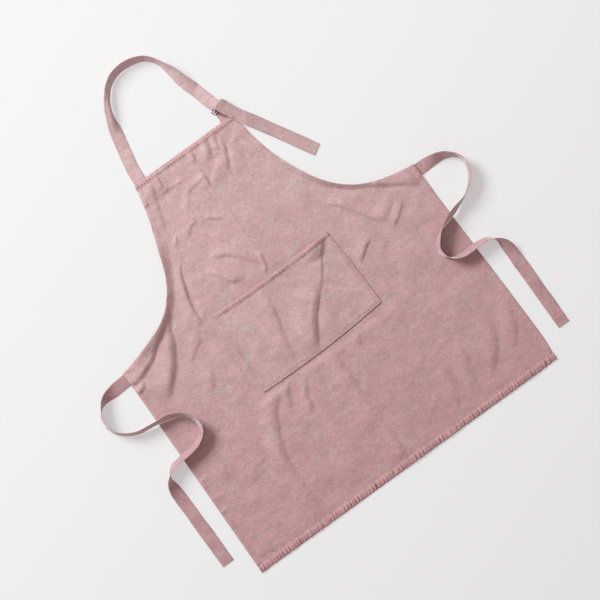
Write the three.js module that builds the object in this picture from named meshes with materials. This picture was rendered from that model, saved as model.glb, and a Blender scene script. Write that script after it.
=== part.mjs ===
// A linen bib apron laid out flat on a table: bib and skirt in one cut, a patch pocket with an open
// mouth, a neck strap that ends in a slim ring, an adjusting strap folded through that ring, and a
// tie at each end of the waist.
// Millimetres. x runs across from the centre line, y up the apron from the waist line, z up from the table.

import * as THREE from 'three';

// The cut
const HEM_WIDTH = 698;
const WAIST_WIDTH = 684;
const BIB_WIDTH = 228;
const BIB_HEIGHT = 274;
const SKIRT_LENGTH = 466;
const WAIST_DROP = 5.5;
const ARMHOLE_HANDLE_BIB = new THREE.Vector2(156, 70);
const ARMHOLE_HANDLE_WAIST = new THREE.Vector2(199, 9.5);

// Cloth thicknesses and hem depths
const CLOTH = 1.2;
const HEM_EXTRA = 0.8;
const SEAM_GAP = 0.3;
const BOTTOM_HEM = 13;
const BIB_HEM = 12;
const SIDE_HEM = 10;
const POCKET_HEM = 15;

// Straps: one woven width for the neck strap, its adjusting strap and both ties
const STRAP_WIDTH = 26;
const STRAP_CLOTH = 1.4;
const STRAP_TUCK = 10;
const SEAM_EASE = 0.1;
const SEAM_LIFT = STRAP_CLOTH + SEAM_GAP + SEAM_EASE;

// Mesh spacing, how sharply each row of it bows towards the sides, and the drawn-up hems
const CELL = 18;
const ROW_BOW = 3;
const RIPPLE_PITCH = 11;
const RIPPLE_RISE = 0.5;
const RIPPLE_SCALLOP = 1.1;

// Ring: a slim rounded loop of wire, turned with the end of the neck strap
const RING_CENTRE = new THREE.Vector2(103.5, 301.5);
const RING_TURN = THREE.MathUtils.degToRad(15);
const RING_HALF_LENGTH = 16.5;
const RING_HALF_HEIGHT = 4.6;
const RING_CORNER = 2.5;
const WIRE_RADIUS = 1.1;
const WIRE_SIDES = 8;
const RING_STEPS = 40;
const WRAP_RADIUS = WIRE_RADIUS + SEAM_GAP + STRAP_CLOTH / 2;
const RING_Z = STRAP_CLOTH + SEAM_GAP + WIRE_RADIUS;
const RING_GATHER = 0.9;

const LINEN = 0xbc9697;
const LINEN_POCKET = 0xc3a2a2;
const LINEN_STRAP = 0xb98f91;
const RING_STEEL = 0xb9b6b1;

// Where the cloth is drawn up over a strap's sewn end: centre and half sizes of each raised patch
const SEAM_PATCHES = [
  { name: 'left bib corner', x: -102, y: 262, halfX: 30, halfY: 16 },
  { name: 'right bib corner', x: 102, y: 262, halfX: 30, halfY: 16 },
  { name: 'left waist corner', x: -333, y: -22, halfX: 18, halfY: 30 },
  { name: 'right waist corner', x: 333, y: -22, halfX: 18, halfY: 30 },
];
const SEAM_FADE = 28;

// Main folds of the laid panel: a ridge along each route, its height, and how far the cloth takes to
// come down on the right and on the left of the route
const PANEL_FOLDS = [
  {
    name: 'left drag',
    route: [[-210, 42], [-228, 0], [-262, -48], [-306, -90]],
    rise: 7,
    right: 20,
    left: 11,
  },
  { name: 'left tie pull', route: [[-236, 24], [-262, 4], [-300, -20]], rise: 3.5, right: 9, left: 9 },
  { name: 'right tie pull', route: [[230, 26], [262, 4], [300, -20]], rise: 3.5, right: 9, left: 9 },
  { name: 'left bib crease', route: [[-138, 96], [-156, 52], [-164, 12]], rise: 4.5, right: 16, left: 9 },
  { name: 'bib edge fold', route: [[-88, 240], [-104, 205], [-118, 160]], rise: 3.5, right: 12, left: 9 },
  { name: 'bib ridge', route: [[76, 236], [66, 210], [54, 180]], rise: 3.5, right: 10, left: 10 },
  { name: 'bib crinkle', route: [[-42, 146], [-18, 116]], rise: 2.5, right: 10, left: 10 },
  { name: 'right drag', route: [[184, -14], [206, -40], [238, -68]], rise: 4, right: 10, left: 12 },
  { name: 'right cross drag', route: [[274, -26], [256, -44], [238, -68]], rise: 3.5, right: 10, left: 10 },
  { name: 'right tail drag', route: [[238, -70], [252, -96], [262, -124]], rise: 3.5, right: 10, left: 10 },
  {
    name: 'skirt long fold',
    route: [[-150, -228], [-176, -270], [-200, -335]],
    rise: 5.5,
    right: 24,
    left: 18,
  },
  { name: 'skirt short fold', route: [[-82, -226], [-104, -268]], rise: 3, right: 12, left: 12 },
  { name: 'skirt right fold', route: [[192, -330], [184, -372], [186, -412]], rise: 4, right: 16, left: 14 },
  { name: 'skirt far fold', route: [[250, -320], [232, -380], [222, -436]], rise: 3.5, right: 16, left: 14 },
];

// Places where the panel lies flat under something: low and high corners
const CALM_PLACES = [
  { name: 'pocket', lowX: -146, lowY: -198, highX: 138, highY: -12 },
  { name: 'left tie crossing', lowX: -350, lowY: -216, highX: -272, highY: -112 },
  { name: 'right tie crossing', lowX: 276, lowY: -216, highX: 350, highY: -112 },
];
const CALM_MARGIN = 18;
const CALM_FADE = 16;
const FOLD_POINTS = 24;
const FOLD_END = 0.06;

// Patch pocket: corners, the sag of its bottom seam, the bow of its right seam and how far its mouth gapes
const POCKET_TOP_LEFT = new THREE.Vector2(-138, -14);
const POCKET_TOP_RIGHT = new THREE.Vector2(131, -13);
const POCKET_BOTTOM_LEFT = new THREE.Vector2(-145.5, -192.5);
const POCKET_BOTTOM_RIGHT = new THREE.Vector2(137.5, -184);
const POCKET_SAG = 5;
const POCKET_BOW = 2.5;
const POCKET_GAPE = 8;
const POCKET_CROWN = 1.2;
const POCKET_ROWS = 12;
const POCKET_COLUMNS = 22;
const POCKET_FOLDS = [
  {
    name: 'diagonal',
    route: [[126, -30], [62, -100], [24, -134], [-4, -182]],
    rise: 3.6,
    right: 7,
    left: 34,
  },
  { name: 'soft', route: [[-44, -58], [-48, -100], [-54, -150]], rise: 2, right: 16, left: 16 },
];

// Routes of the laid straps. roll turns the strap about its own run: 0 lies flat, 90 stands on an edge
const NECK_STRAP_ROUTE = [
  { x: -102.5, y: BIB_HEIGHT - STRAP_TUCK, roll: 0 },
  { x: -99.5, y: 300, roll: 0 },
  { x: -94, y: 340, roll: -8 },
  { x: -85.5, y: 380, roll: -22 },
  { x: -79.5, y: 400, roll: -36 },
  { x: -71, y: 422, roll: -54 },
  { x: -60, y: 441, roll: -62 },
  { x: -47, y: 455, roll: -62 },
  { x: -28, y: 467, roll: -60 },
  { x: -4, y: 472.5, roll: -60 },
  { x: 20, y: 470, roll: -62 },
  { x: 42, y: 460.5, roll: -66 },
  { x: 55, y: 449, roll: -76 },
  { x: 62, y: 438, roll: -94 },
  { x: 67.5, y: 424, roll: -118 },
  { x: 73, y: 406, roll: -140 },
  { x: 79, y: 383, roll: -158 },
];
const LEFT_TIE_ROUTE = [
  { x: STRAP_TUCK - WAIST_WIDTH / 2, y: -20, roll: 0 },
  { x: -352, y: -20, roll: 0 },
  { x: -366, y: -20.5, roll: 9 },
  { x: -380, y: -22, roll: 28 },
  { x: -392, y: -24, roll: 42 },
  { x: -403, y: -28, roll: 56 },
  { x: -418, y: -38, roll: 84 },
  { x: -427, y: -53, roll: 95 },
  { x: -428.5, y: -69, roll: 97 },
  { x: -421.5, y: -88, roll: 100 },
  { x: -407, y: -103, roll: 104 },
  { x: -386, y: -114, roll: 106 },
  { x: -345, y: -120, roll: 108 },
  { x: -322, y: -123.5, roll: 112 },
  { x: -303, y: -132, roll: 112 },
  { x: -288.5, y: -146, roll: 110 },
  { x: -281.5, y: -163, roll: 110 },
  { x: -284.5, y: -179, roll: 112 },
  { x: -297, y: -191.5, roll: 114 },
  { x: -315, y: -199, roll: 115 },
  { x: -350, y: -203, roll: 115 },
  { x: -369, y: -206, roll: 111 },
  { x: -381, y: -213, roll: 98 },
  { x: -388, y: -223, roll: 74 },
  { x: -391.5, y: -236, roll: 42 },
  { x: -393, y: -256, roll: 12 },
  { x: -393, y: -290, roll: 0 },
  { x: -392.5, y: -418, roll: 0 },
];
const RIGHT_TIE_ROUTE = [
  { x: WAIST_WIDTH / 2 - STRAP_TUCK, y: -20, roll: 0 },
  { x: 352, y: -20, roll: 0 },
  { x: 366, y: -20.5, roll: -9 },
  { x: 380, y: -22, roll: -30 },
  { x: 392, y: -24, roll: -44 },
  { x: 403, y: -28.5, roll: -58 },
  { x: 417, y: -39, roll: -84 },
  { x: 424, y: -54, roll: -95 },
  { x: 424.5, y: -68, roll: -97 },
  { x: 419, y: -84, roll: -98 },
  { x: 406, y: -99, roll: -100 },
  { x: 384, y: -113.5, roll: -98 },
  { x: 362, y: -121, roll: -108 },
  { x: 344, y: -127, roll: -116 },
  { x: 325, y: -133.5, roll: -116 },
  { x: 308, y: -142.5, roll: -114 },
  { x: 294, y: -156, roll: -110 },
  { x: 286.5, y: -170, roll: -110 },
  { x: 288.5, y: -184, roll: -112 },
  { x: 299, y: -196, roll: -114 },
  { x: 315, y: -202, roll: -116 },
  { x: 350, y: -202.5, roll: -116 },
  { x: 368, y: -204, roll: -111 },
  { x: 381, y: -209.5, roll: -98 },
  { x: 389, y: -219, roll: -74 },
  { x: 394.5, y: -232, roll: -42 },
  { x: 397, y: -252, roll: -12 },
  { x: 397, y: -290, roll: 0 },
  { x: 396.5, y: -424, roll: 0 },
];
const TWIST_STEP = 0.35;
const SKIRT_CROSSING_TOP = -58;
const RAMP_START = 6;
const RAMP_END = 34;
const NECK_STRAP_STEPS = 46;
const TIE_STEPS = 62;

// Adjusting strap: where it leaves the bib, its way under the ring's lower bar, up through the ring and
// over the upper bar, the loose fold there, and its tail back down to the free end
const NECK_TIE_ROOT = new THREE.Vector3(102, BIB_HEIGHT - STRAP_TUCK, STRAP_CLOTH / 2);
const NECK_TIE_RISE = [0, 0.35, 0.7];
const NECK_TIE_THROUGH = [
  { along: -0.3, up: -6, z: STRAP_CLOTH / 2 },
  { along: 0, up: -2.6, z: 0.9 },
  { along: 0.2, up: -1.6, z: 1.6 },
  { along: 0.6, up: -0.9, z: 2.8 },
  { along: 1.2, up: -0.5, z: 4.2 },
  { along: 2, up: 0.6, z: 5.6 },
  { along: 3, up: 2.2, z: 6.5 },
  { along: 4.2, up: 4.6, z: 6.9 },
];
const NECK_TIE_FOLD = { along: 5, up: 6.8, z: 7.9, radius: 0.9 };
const NECK_TIE_BACK = [
  { along: 5.4, up: 4.4, z: 8.75 },
  { along: 6, up: 0.5, z: 8.3 },
];
const NECK_TIE_TAIL = [
  { x: 114, y: 292, z: 6.2 },
  { x: 124, y: 273, z: 5.3 },
  { x: 134, y: 255, z: 5.0 },
  { x: 148, y: 231, z: 3.4 },
  { x: 163, y: 205, z: 1.2 },
  { x: 180, y: 176, z: 0.7 },
  { x: 196, y: 148, z: 0.7 },
  { x: 210, y: 124, z: 0.7 },
];
const TAIL_TURN = 3;
const WRAP_STEPS = 6;

// End of the neck strap: it comes down flat, climbs over its own turned end and round the ring's upper bar
const NECK_STRAP_ALONG = -2;
const NECK_STRAP_FLAT = STRAP_CLOTH / 2;
const NECK_STRAP_DOUBLED = 1.5 * STRAP_CLOTH + SEAM_GAP;
const NECK_STRAP_JOIN = 56;
const NECK_STRAP_CLIMB = [
  { up: 34, z: NECK_STRAP_FLAT + 0.9, gather: 1 },
  { up: 27, z: NECK_STRAP_DOUBLED, gather: 0.98 },
  { up: 17, z: NECK_STRAP_DOUBLED + 0.9, gather: 0.95 },
  { up: 10, z: NECK_STRAP_DOUBLED + 2, gather: RING_GATHER },
];
const NECK_STRAP_TURNED = [8, 19];

function smooth(value, low, high) {
  return THREE.MathUtils.smoothstep(value, low, high);
}

function clothMaterial(color) {
  return new THREE.MeshStandardMaterial({ color, roughness: 0.95, metalness: 0 });
}

// Triangles between two rows of points that need not have the same number of columns
function zipRows(lower, upper, emit) {
  let i = 0;
  let j = 0;
  while (i < lower.length - 1 || j < upper.length - 1) {
    const upperDone = j === upper.length - 1;
    const lowerNext = i < lower.length - 1 && (upperDone || lower[i + 1].u <= upper[j + 1].u);
    if (lowerNext) {
      emit(lower[i], lower[i + 1], upper[j]);
      i += 1;
    } else {
      emit(lower[i], upper[j + 1], upper[j]);
      j += 1;
    }
  }
}

// A closed cloth wall from rows of { u, front, back }: two faces zipped row to row, and a rim round them
function clothWall(rows) {
  const fronts = [];
  const backs = [];
  const numbered = rows.map((row) => row.map(({ u, front, back }) => {
    fronts.push(front);
    backs.push(back);
    return { u, id: fronts.length - 1 };
  }));
  const count = fronts.length;
  const index = [];
  const quad = (a, b, c, d) => index.push(a, b, c, a, c, d);
  for (let r = 0; r + 1 < numbered.length; r += 1) {
    const lower = numbered[r];
    const upper = numbered[r + 1];
    zipRows(lower, upper, (a, b, c) => {
      index.push(a.id, b.id, c.id);
      index.push(c.id + count, b.id + count, a.id + count);
    });
    quad(lower[0].id + count, lower[0].id, upper[0].id, upper[0].id + count);
    const lowerEnd = lower.at(-1).id;
    const upperEnd = upper.at(-1).id;
    quad(lowerEnd, lowerEnd + count, upperEnd + count, upperEnd);
  }
  const first = numbered[0];
  for (let c = 0; c + 1 < first.length; c += 1) {
    quad(first[c].id + count, first[c + 1].id + count, first[c + 1].id, first[c].id);
  }
  const last = numbered.at(-1);
  for (let c = 0; c + 1 < last.length; c += 1) {
    quad(last[c + 1].id + count, last[c].id + count, last[c].id, last[c + 1].id);
  }
  const geometry = new THREE.BufferGeometry().setFromPoints([...fronts, ...backs]);
  geometry.setIndex(index);
  geometry.computeVertexNormals();
  return geometry;
}

// Folds: each route becomes a smooth line, and a point near it is raised by its distance to that line
function plotFolds(folds) {
  return folds.map((fold) => {
    const points = fold.route.map(([x, y]) => new THREE.Vector2(x, y));
    return { ...fold, line: new THREE.SplineCurve(points).getSpacedPoints(FOLD_POINTS) };
  });
}

function foldRise({ line, rise, right, left }, x, y) {
  let nearest = Infinity;
  let share = 0;
  let side = 1;
  for (let k = 0; k + 1 < line.length; k += 1) {
    const runX = line[k + 1].x - line[k].x;
    const runY = line[k + 1].y - line[k].y;
    const offX = x - line[k].x;
    const offY = y - line[k].y;
    const along = THREE.MathUtils.clamp((offX * runX + offY * runY) / (runX ** 2 + runY ** 2), 0, 1);
    const distance = Math.hypot(offX - along * runX, offY - along * runY);
    if (distance < nearest) {
      nearest = distance;
      share = (k + along) / (line.length - 1);
      side = runX * offY - runY * offX;
    }
  }
  const spread = side > 0 ? left : right;
  const ends = Math.sin(Math.PI * THREE.MathUtils.clamp(share, FOLD_END, 1 - FOLD_END));
  return rise * Math.sqrt(ends) * Math.exp(-((nearest / spread) ** 2));
}

// Body panel: bib and skirt in one cut
const panelFolds = plotFolds(PANEL_FOLDS);

function patchDistance(x, y, { lowX, lowY, highX, highY }) {
  return Math.hypot(Math.max(lowX - x, x - highX, 0), Math.max(lowY - y, y - highY, 0));
}

function seamLift(x, y) {
  const lifts = SEAM_PATCHES.map(({ x: midX, y: midY, halfX, halfY }) => {
    const away = Math.max(Math.abs(x - midX) - halfX, Math.abs(y - midY) - halfY, 0);
    return SEAM_LIFT * (1 - smooth(away, 0, SEAM_FADE));
  });
  return Math.max(...lifts);
}

function panelUnderside(x, y) {
  let calm = 1;
  for (const place of CALM_PLACES) {
    calm *= smooth(patchDistance(x, y, place), CALM_MARGIN, CALM_MARGIN + CALM_FADE);
  }
  const raised = panelFolds.reduce((sum, fold) => sum + foldRise(fold, x, y), 0);
  return seamLift(x, y) + calm * raised;
}

// The right-hand edge of the panel from the hem to the bib, with the height that each row has at mid panel
function panelEdge() {
  const hemCorner = new THREE.Vector2(HEM_WIDTH / 2, -SKIRT_LENGTH);
  const hemFold = new THREE.Vector2(HEM_WIDTH / 2, BOTTOM_HEM - SKIRT_LENGTH);
  const waistCorner = new THREE.Vector2(WAIST_WIDTH / 2, -WAIST_DROP);
  const bibCorner = new THREE.Vector2(BIB_WIDTH / 2, BIB_HEIGHT);
  const side = new THREE.LineCurve(hemFold, waistCorner);
  const armhole = new THREE.CubicBezierCurve(
    waistCorner, ARMHOLE_HANDLE_WAIST, ARMHOLE_HANDLE_BIB, bibCorner);
  const sideRows = Math.round(side.getLength() / CELL);
  const bibHemShare = 1 - BIB_HEM / armhole.getLength();
  const armholeRows = Math.round((armhole.getLength() - BIB_HEM) / CELL);
  const edge = [];
  for (let k = 0; k < sideRows; k += 1) {
    edge.push(side.getPointAt(k / sideRows));
  }
  for (let k = 0; k <= armholeRows; k += 1) {
    edge.push(armhole.getPointAt(bibHemShare * k / armholeRows));
  }
  const hemFoldY = edge[0].y;
  const bibFoldY = edge.at(-1).y;
  const rows = edge.map((point, k) => {
    const midY = THREE.MathUtils.lerp(hemFoldY, bibFoldY, k / (edge.length - 1));
    return { half: point.x, edgeY: point.y, midY, cell: CELL, ripple: 0 };
  });
  const rippleCell = RIPPLE_PITCH / 2;
  rows[0].cell = rippleCell;
  rows.at(-1).cell = rippleCell;
  rows.unshift({ half: hemCorner.x, edgeY: hemCorner.y, midY: hemCorner.y, cell: rippleCell, ripple: 1 });
  rows.push({ half: bibCorner.x, edgeY: bibCorner.y, midY: bibCorner.y, cell: rippleCell, ripple: 0 });
  return rows;
}

function panelRow({ half, edgeY, midY, cell, ripple }, isHem) {
  const inner = half - SIDE_HEM;
  const cells = 2 * Math.round(inner / cell);
  const acrossAt = [-half];
  for (let c = 0; c <= cells; c += 1) {
    acrossAt.push(inner * (2 * c / cells - 1));
  }
  acrossAt.push(half);
  return acrossAt.map((x, c) => {
    const u = x / half;
    const crest = c % 2 ? 1 : -1;
    const bow = 1 - Math.abs(u) ** ROW_BOW;
    const y = THREE.MathUtils.lerp(edgeY, midY, bow) + ripple * RIPPLE_SCALLOP * (1 + crest) / 2;
    const under = panelUnderside(x, y);
    const isSide = c === 0 || c === acrossAt.length - 1;
    const thick = CLOTH + (isSide || isHem ? HEM_EXTRA : 0) + (isHem ? RIPPLE_RISE * crest : 0);
    return { u, front: new THREE.Vector3(x, y, under + thick), back: new THREE.Vector3(x, y, under) };
  });
}

function bodyPanel() {
  const edge = panelEdge();
  const rows = edge.map((row, k) => panelRow(row, k === 0 || k === edge.length - 1));
  const panel = new THREE.Mesh(clothWall(rows), clothMaterial(LINEN));
  panel.name = 'body_panel';
  return panel;
}

// Patch pocket: sewn down on three sides, its mouth standing open towards the bib
const pocketFolds = plotFolds(POCKET_FOLDS);

function pocketPoint(u, v) {
  const left = POCKET_BOTTOM_LEFT.clone().lerp(POCKET_TOP_LEFT, v);
  const right = POCKET_BOTTOM_RIGHT.clone().lerp(POCKET_TOP_RIGHT, v);
  right.x += POCKET_BOW * 4 * v * (1 - v);
  const point = left.lerp(right, (u + 1) / 2);
  point.y -= POCKET_SAG * (1 - v) * (1 - u * u);
  return point;
}

function pocketRow(v, columns, isHem) {
  const row = [];
  for (let c = 0; c <= columns; c += 1) {
    const u = 2 * c / columns - 1;
    const { x, y } = pocketPoint(u, v);
    const inside = (1 - u * u) ** POCKET_CROWN;
    const raised = pocketFolds.reduce((sum, fold) => sum + foldRise(fold, x, y), 0);
    const loose = smooth(inside, 0, 1 / 4) * smooth(v, 0, 1 / 6);
    const under = CLOTH + SEAM_GAP + POCKET_GAPE * inside * v + raised * loose;
    const crest = c % 2 ? 1 : -1;
    const thick = CLOTH + (isHem ? HEM_EXTRA + RIPPLE_RISE * crest : 0);
    row.push({ u, front: new THREE.Vector3(x, y, under + thick), back: new THREE.Vector3(x, y, under) });
  }
  return row;
}

function pocket() {
  const width = POCKET_TOP_LEFT.distanceTo(POCKET_TOP_RIGHT);
  const height = POCKET_TOP_LEFT.distanceTo(POCKET_BOTTOM_LEFT);
  const hemShare = 1 - POCKET_HEM / height;
  const hemColumns = 2 * Math.round(width / RIPPLE_PITCH);
  const rows = [];
  for (let r = 0; r < POCKET_ROWS; r += 1) {
    rows.push(pocketRow(hemShare * r / POCKET_ROWS, POCKET_COLUMNS, false));
  }
  rows.push(pocketRow(hemShare, hemColumns, false));
  rows.push(pocketRow(1, hemColumns, true));
  const patch = new THREE.Mesh(clothWall(rows), clothMaterial(LINEN_POCKET));
  patch.name = 'pocket';
  return patch;
}

// What a strap lies on: the table, or the panel's side hem and the ramp up to it
function groundAt(x, y) {
  const onSkirt = y < SKIRT_CROSSING_TOP && y > -SKIRT_LENGTH;
  const outside = Math.abs(x) - WAIST_WIDTH / 2;
  const onTable = smooth(outside, RAMP_START, RAMP_END);
  return onSkirt ? (CLOTH + HEM_EXTRA + SEAM_GAP) * (1 - onTable) : 0;
}

// Stations of a strap that lies along a route, each with the direction from its left to its right edge
function laidStations(route, steps) {
  const line = new THREE.CatmullRomCurve3(
    route.map(({ x, y, roll }) => new THREE.Vector3(x, y, roll * TWIST_STEP)));
  const points = line.getSpacedPoints(steps);
  return points.map((point, k) => {
    const ahead = points[Math.min(k + 1, steps)];
    const behind = points[Math.max(k - 1, 0)];
    const travel = new THREE.Vector2(ahead.x - behind.x, ahead.y - behind.y).normalize();
    const roll = THREE.MathUtils.degToRad(point.z / TWIST_STEP);
    const across = new THREE.Vector3(
      travel.y * Math.cos(roll), -travel.x * Math.cos(roll), Math.sin(roll));
    const lift = (STRAP_WIDTH * Math.abs(Math.sin(roll)) + STRAP_CLOTH * Math.abs(Math.cos(roll))) / 2;
    const centre = new THREE.Vector3(point.x, point.y, groundAt(point.x, point.y) + lift);
    return { centre, across };
  });
}

function strapMesh(name, stations) {
  const rows = stations.map(({ centre, across }, k) => {
    const ahead = stations[Math.min(k + 1, stations.length - 1)].centre;
    const behind = stations[Math.max(k - 1, 0)].centre;
    const travel = ahead.clone().sub(behind);
    const face = across.clone().cross(travel).setLength(STRAP_CLOTH / 2);
    return [-1, 0, 1].map((u) => {
      const point = centre.clone().addScaledVector(across, u * STRAP_WIDTH / 2);
      return { u, front: point.clone().add(face), back: point.clone().sub(face) };
    });
  });
  const strap = new THREE.Mesh(clothWall(rows), clothMaterial(LINEN_STRAP));
  strap.name = name;
  return strap;
}

// Points in the ring's own frame: along its bars, up the neck strap, and above the table
const ringAlong = new THREE.Vector2(Math.cos(RING_TURN), Math.sin(RING_TURN));
const ringUp = new THREE.Vector2(-Math.sin(RING_TURN), Math.cos(RING_TURN));

function ringPoint(along, up, z) {
  const flat = RING_CENTRE.clone().addScaledVector(ringAlong, along).addScaledVector(ringUp, up);
  return new THREE.Vector3(flat.x, flat.y, z);
}

// Half a turn of strap in the ring's frame, from above its middle to below it: reach is -1 where it turns
// down the neck strap, as round the upper bar, and 1 where it turns up it, as in a loose fold
function turnStations({ along, up, z, radius }, reach, across) {
  const stations = [];
  for (let k = 0; k <= WRAP_STEPS; k += 1) {
    const turn = Math.PI * k / WRAP_STEPS;
    const centre = ringPoint(along, up + reach * radius * Math.sin(turn), z + radius * Math.cos(turn));
    stations.push({ centre, across });
  }
  return stations;
}

function neckStrap() {
  const across = new THREE.Vector3(ringAlong.x, ringAlong.y, 0);
  const bar = { along: NECK_STRAP_ALONG, up: RING_HALF_HEIGHT, z: RING_Z, radius: WRAP_RADIUS };
  const joining = ringPoint(NECK_STRAP_ALONG, NECK_STRAP_JOIN, 0);
  const route = [...NECK_STRAP_ROUTE, { x: joining.x, y: joining.y, roll: -180 }];
  const climb = NECK_STRAP_CLIMB.map(({ up, z, gather }) => ({
    centre: ringPoint(NECK_STRAP_ALONG, up, z),
    across: across.clone().multiplyScalar(gather),
  }));
  const turned = NECK_STRAP_TURNED.map((up) => ({
    centre: ringPoint(NECK_STRAP_ALONG, RING_HALF_HEIGHT + up, NECK_STRAP_FLAT),
    across: across.clone().multiplyScalar(RING_GATHER),
  }));
  return strapMesh('neck_strap', [
    ...laidStations(route, NECK_STRAP_STEPS),
    ...climb,
    ...turnStations(bar, -1, across.clone().multiplyScalar(RING_GATHER)),
    ...turned,
  ]);
}

function neckTie() {
  const square = new THREE.Vector3(1, 0, 0);
  const across = new THREE.Vector3(ringAlong.x, ringAlong.y, 0);
  const inRing = ({ along, up, z }) => ({ centre: ringPoint(along, up, z), across });
  const through = NECK_TIE_THROUGH.map(inRing);
  const rise = NECK_TIE_RISE.map((share) => ({
    centre: NECK_TIE_ROOT.clone().lerp(through[0].centre, share),
    across: square.clone().lerp(across, share),
  }));
  const fold = turnStations(NECK_TIE_FOLD, 1, across).reverse();
  const tailEnd = NECK_TIE_TAIL.at(-1);
  const tailRun = new THREE.Vector2(tailEnd.x, tailEnd.y).sub(RING_CENTRE).normalize();
  const tailAcross = new THREE.Vector3(-tailRun.y, tailRun.x, 0);
  const tail = NECK_TIE_TAIL.map(({ x, y, z }, k) => ({
    centre: new THREE.Vector3(x, y, z),
    across: across.clone().lerp(tailAcross, Math.min(1, (k + 1) / TAIL_TURN)),
  }));
  return strapMesh('neck_tie', [...rise, ...through, ...fold, ...NECK_TIE_BACK.map(inRing), ...tail]);
}

function strapRing() {
  const corners = [[1, 1], [-1, 1], [-1, -1], [1, -1]];
  const points = corners.flatMap(([signX, signY], corner) => [0, 0.5, 1].map((share) => {
    const turn = Math.PI / 2 * (corner + share);
    const along = signX * (RING_HALF_LENGTH - RING_CORNER) + RING_CORNER * Math.cos(turn);
    const up = signY * (RING_HALF_HEIGHT - RING_CORNER) + RING_CORNER * Math.sin(turn);
    return new THREE.Vector3(along, up, 0);
  }));
  const loop = new THREE.CatmullRomCurve3(points, true, 'centripetal');
  const wire = new THREE.TubeGeometry(loop, RING_STEPS, WIRE_RADIUS, WIRE_SIDES, true);
  const steel = new THREE.MeshStandardMaterial({ color: RING_STEEL, roughness: 0.35, metalness: 0.9 });
  const ring = new THREE.Mesh(wire, steel);
  ring.name = 'strap_ring';
  ring.position.set(RING_CENTRE.x, RING_CENTRE.y, RING_Z);
  ring.rotation.z = RING_TURN;
  return ring;
}

// The whole apron, moved so that the origin is on the table under the middle of its outline
const apron = new THREE.Group();
apron.add(
  bodyPanel(),
  pocket(),
  neckStrap(),
  strapRing(),
  neckTie(),
  strapMesh('left_tie', laidStations(LEFT_TIE_ROUTE, TIE_STEPS)),
  strapMesh('right_tie', laidStations(RIGHT_TIE_ROUTE, TIE_STEPS)),
);
const reach = new THREE.Box3().setFromObject(apron, true);
const middle = reach.getCenter(new THREE.Vector3());
apron.position.set(-middle.x, -middle.y, -reach.min.z);

export default apron;
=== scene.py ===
"""A washed linen bib apron laid out flat: panel, hems, pocket, straps, ties, ring and stitches.

Sizes are in millimetres in the apron's own frame: x across from the centre line, y up the apron from
the waist line, z up from the table. Meshes are made in metres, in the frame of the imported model.
"""
import logging
import math
from dataclasses import dataclass, field
from enum import Enum

import bpy
import numpy as np
from numpy.typing import NDArray
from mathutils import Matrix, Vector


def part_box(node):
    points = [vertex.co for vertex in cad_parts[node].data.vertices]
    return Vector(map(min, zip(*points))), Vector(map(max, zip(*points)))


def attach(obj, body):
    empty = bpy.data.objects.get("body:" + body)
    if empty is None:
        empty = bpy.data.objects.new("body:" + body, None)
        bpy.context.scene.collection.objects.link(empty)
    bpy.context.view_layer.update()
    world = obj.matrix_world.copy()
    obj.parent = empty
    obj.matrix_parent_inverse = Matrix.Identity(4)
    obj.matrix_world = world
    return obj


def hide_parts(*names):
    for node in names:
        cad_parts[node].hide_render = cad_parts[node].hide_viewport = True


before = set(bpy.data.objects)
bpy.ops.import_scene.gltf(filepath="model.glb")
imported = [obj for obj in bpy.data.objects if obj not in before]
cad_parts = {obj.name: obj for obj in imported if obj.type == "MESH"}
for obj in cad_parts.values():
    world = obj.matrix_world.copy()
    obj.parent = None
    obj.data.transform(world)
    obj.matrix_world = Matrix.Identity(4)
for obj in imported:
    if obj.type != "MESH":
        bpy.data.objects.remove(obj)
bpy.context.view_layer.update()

LOG = logging.getLogger("apron")
Array = NDArray[np.float64]
Span = tuple[float, float]
Spot = tuple[float, float, float]
Rate = Colour = Spot
Route = tuple[Span, ...]
Socket = bpy.types.NodeSocket
Piece = bpy.types.Object

MM = 0.001
BIB_HEIGHT = 274.0
CLOTH = 1.2
SEAM_GAP = 0.3
SEAM_INSET = 0.6
STRAP_WIDTH = 26.0
STRAP_CLOTH = 1.4
STRAP_TUCK = 10.0
MAP_NAME = "weave"
UPHILL = (-0.41, 0.91)
UPWARD = (0.0, 0.0, 1.0)
WHITE = (1.0, 1.0, 1.0)
BANDS_PER_SCALE = 20.0


class Side(Enum):
    """The two sides of the apron, as the sign of x."""

    LEFT = -1
    RIGHT = 1


class Held(Enum):
    """How a sheet of cloth is held."""

    LAID = "laid"
    FOLDED = "folded"


class Slot(Enum):
    """The record's material slots."""

    BODY = "body_linen"
    POCKET = "pocket_linen"
    STRAP = "strap_linen"
    RING = "ring_metal"


def apron_shift() -> Array:
    """Where the apron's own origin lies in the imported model's frame, in millimetres."""
    low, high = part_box("body_panel")
    return np.array([(low.x + high.x) / 2 / MM, high.y / MM - BIB_HEIGHT, 0.0])


SHIFT = apron_shift()


def to_frame(points: Array) -> Array:
    """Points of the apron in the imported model's frame, in metres."""
    return (np.asarray(points, float) + SHIFT) * MM


def ease(value: Array, low: float, high: float) -> Array:
    """A smooth step from 0 at low to 1 at high."""
    share = np.clip((value - low) / (high - low), 0.0, 1.0)
    return share * share * (3.0 - 2.0 * share)


def bell(value: Array, width: Array | float) -> Array:
    """A bell curve, 1 at 0 and about a third at its width."""
    return np.exp(-((value / width) ** 2))


def unit(vectors: Array) -> Array:
    """The vectors at length 1, along the last axis."""
    return vectors / np.maximum(np.linalg.norm(vectors, axis=-1, keepdims=True), 1e-9)


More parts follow.
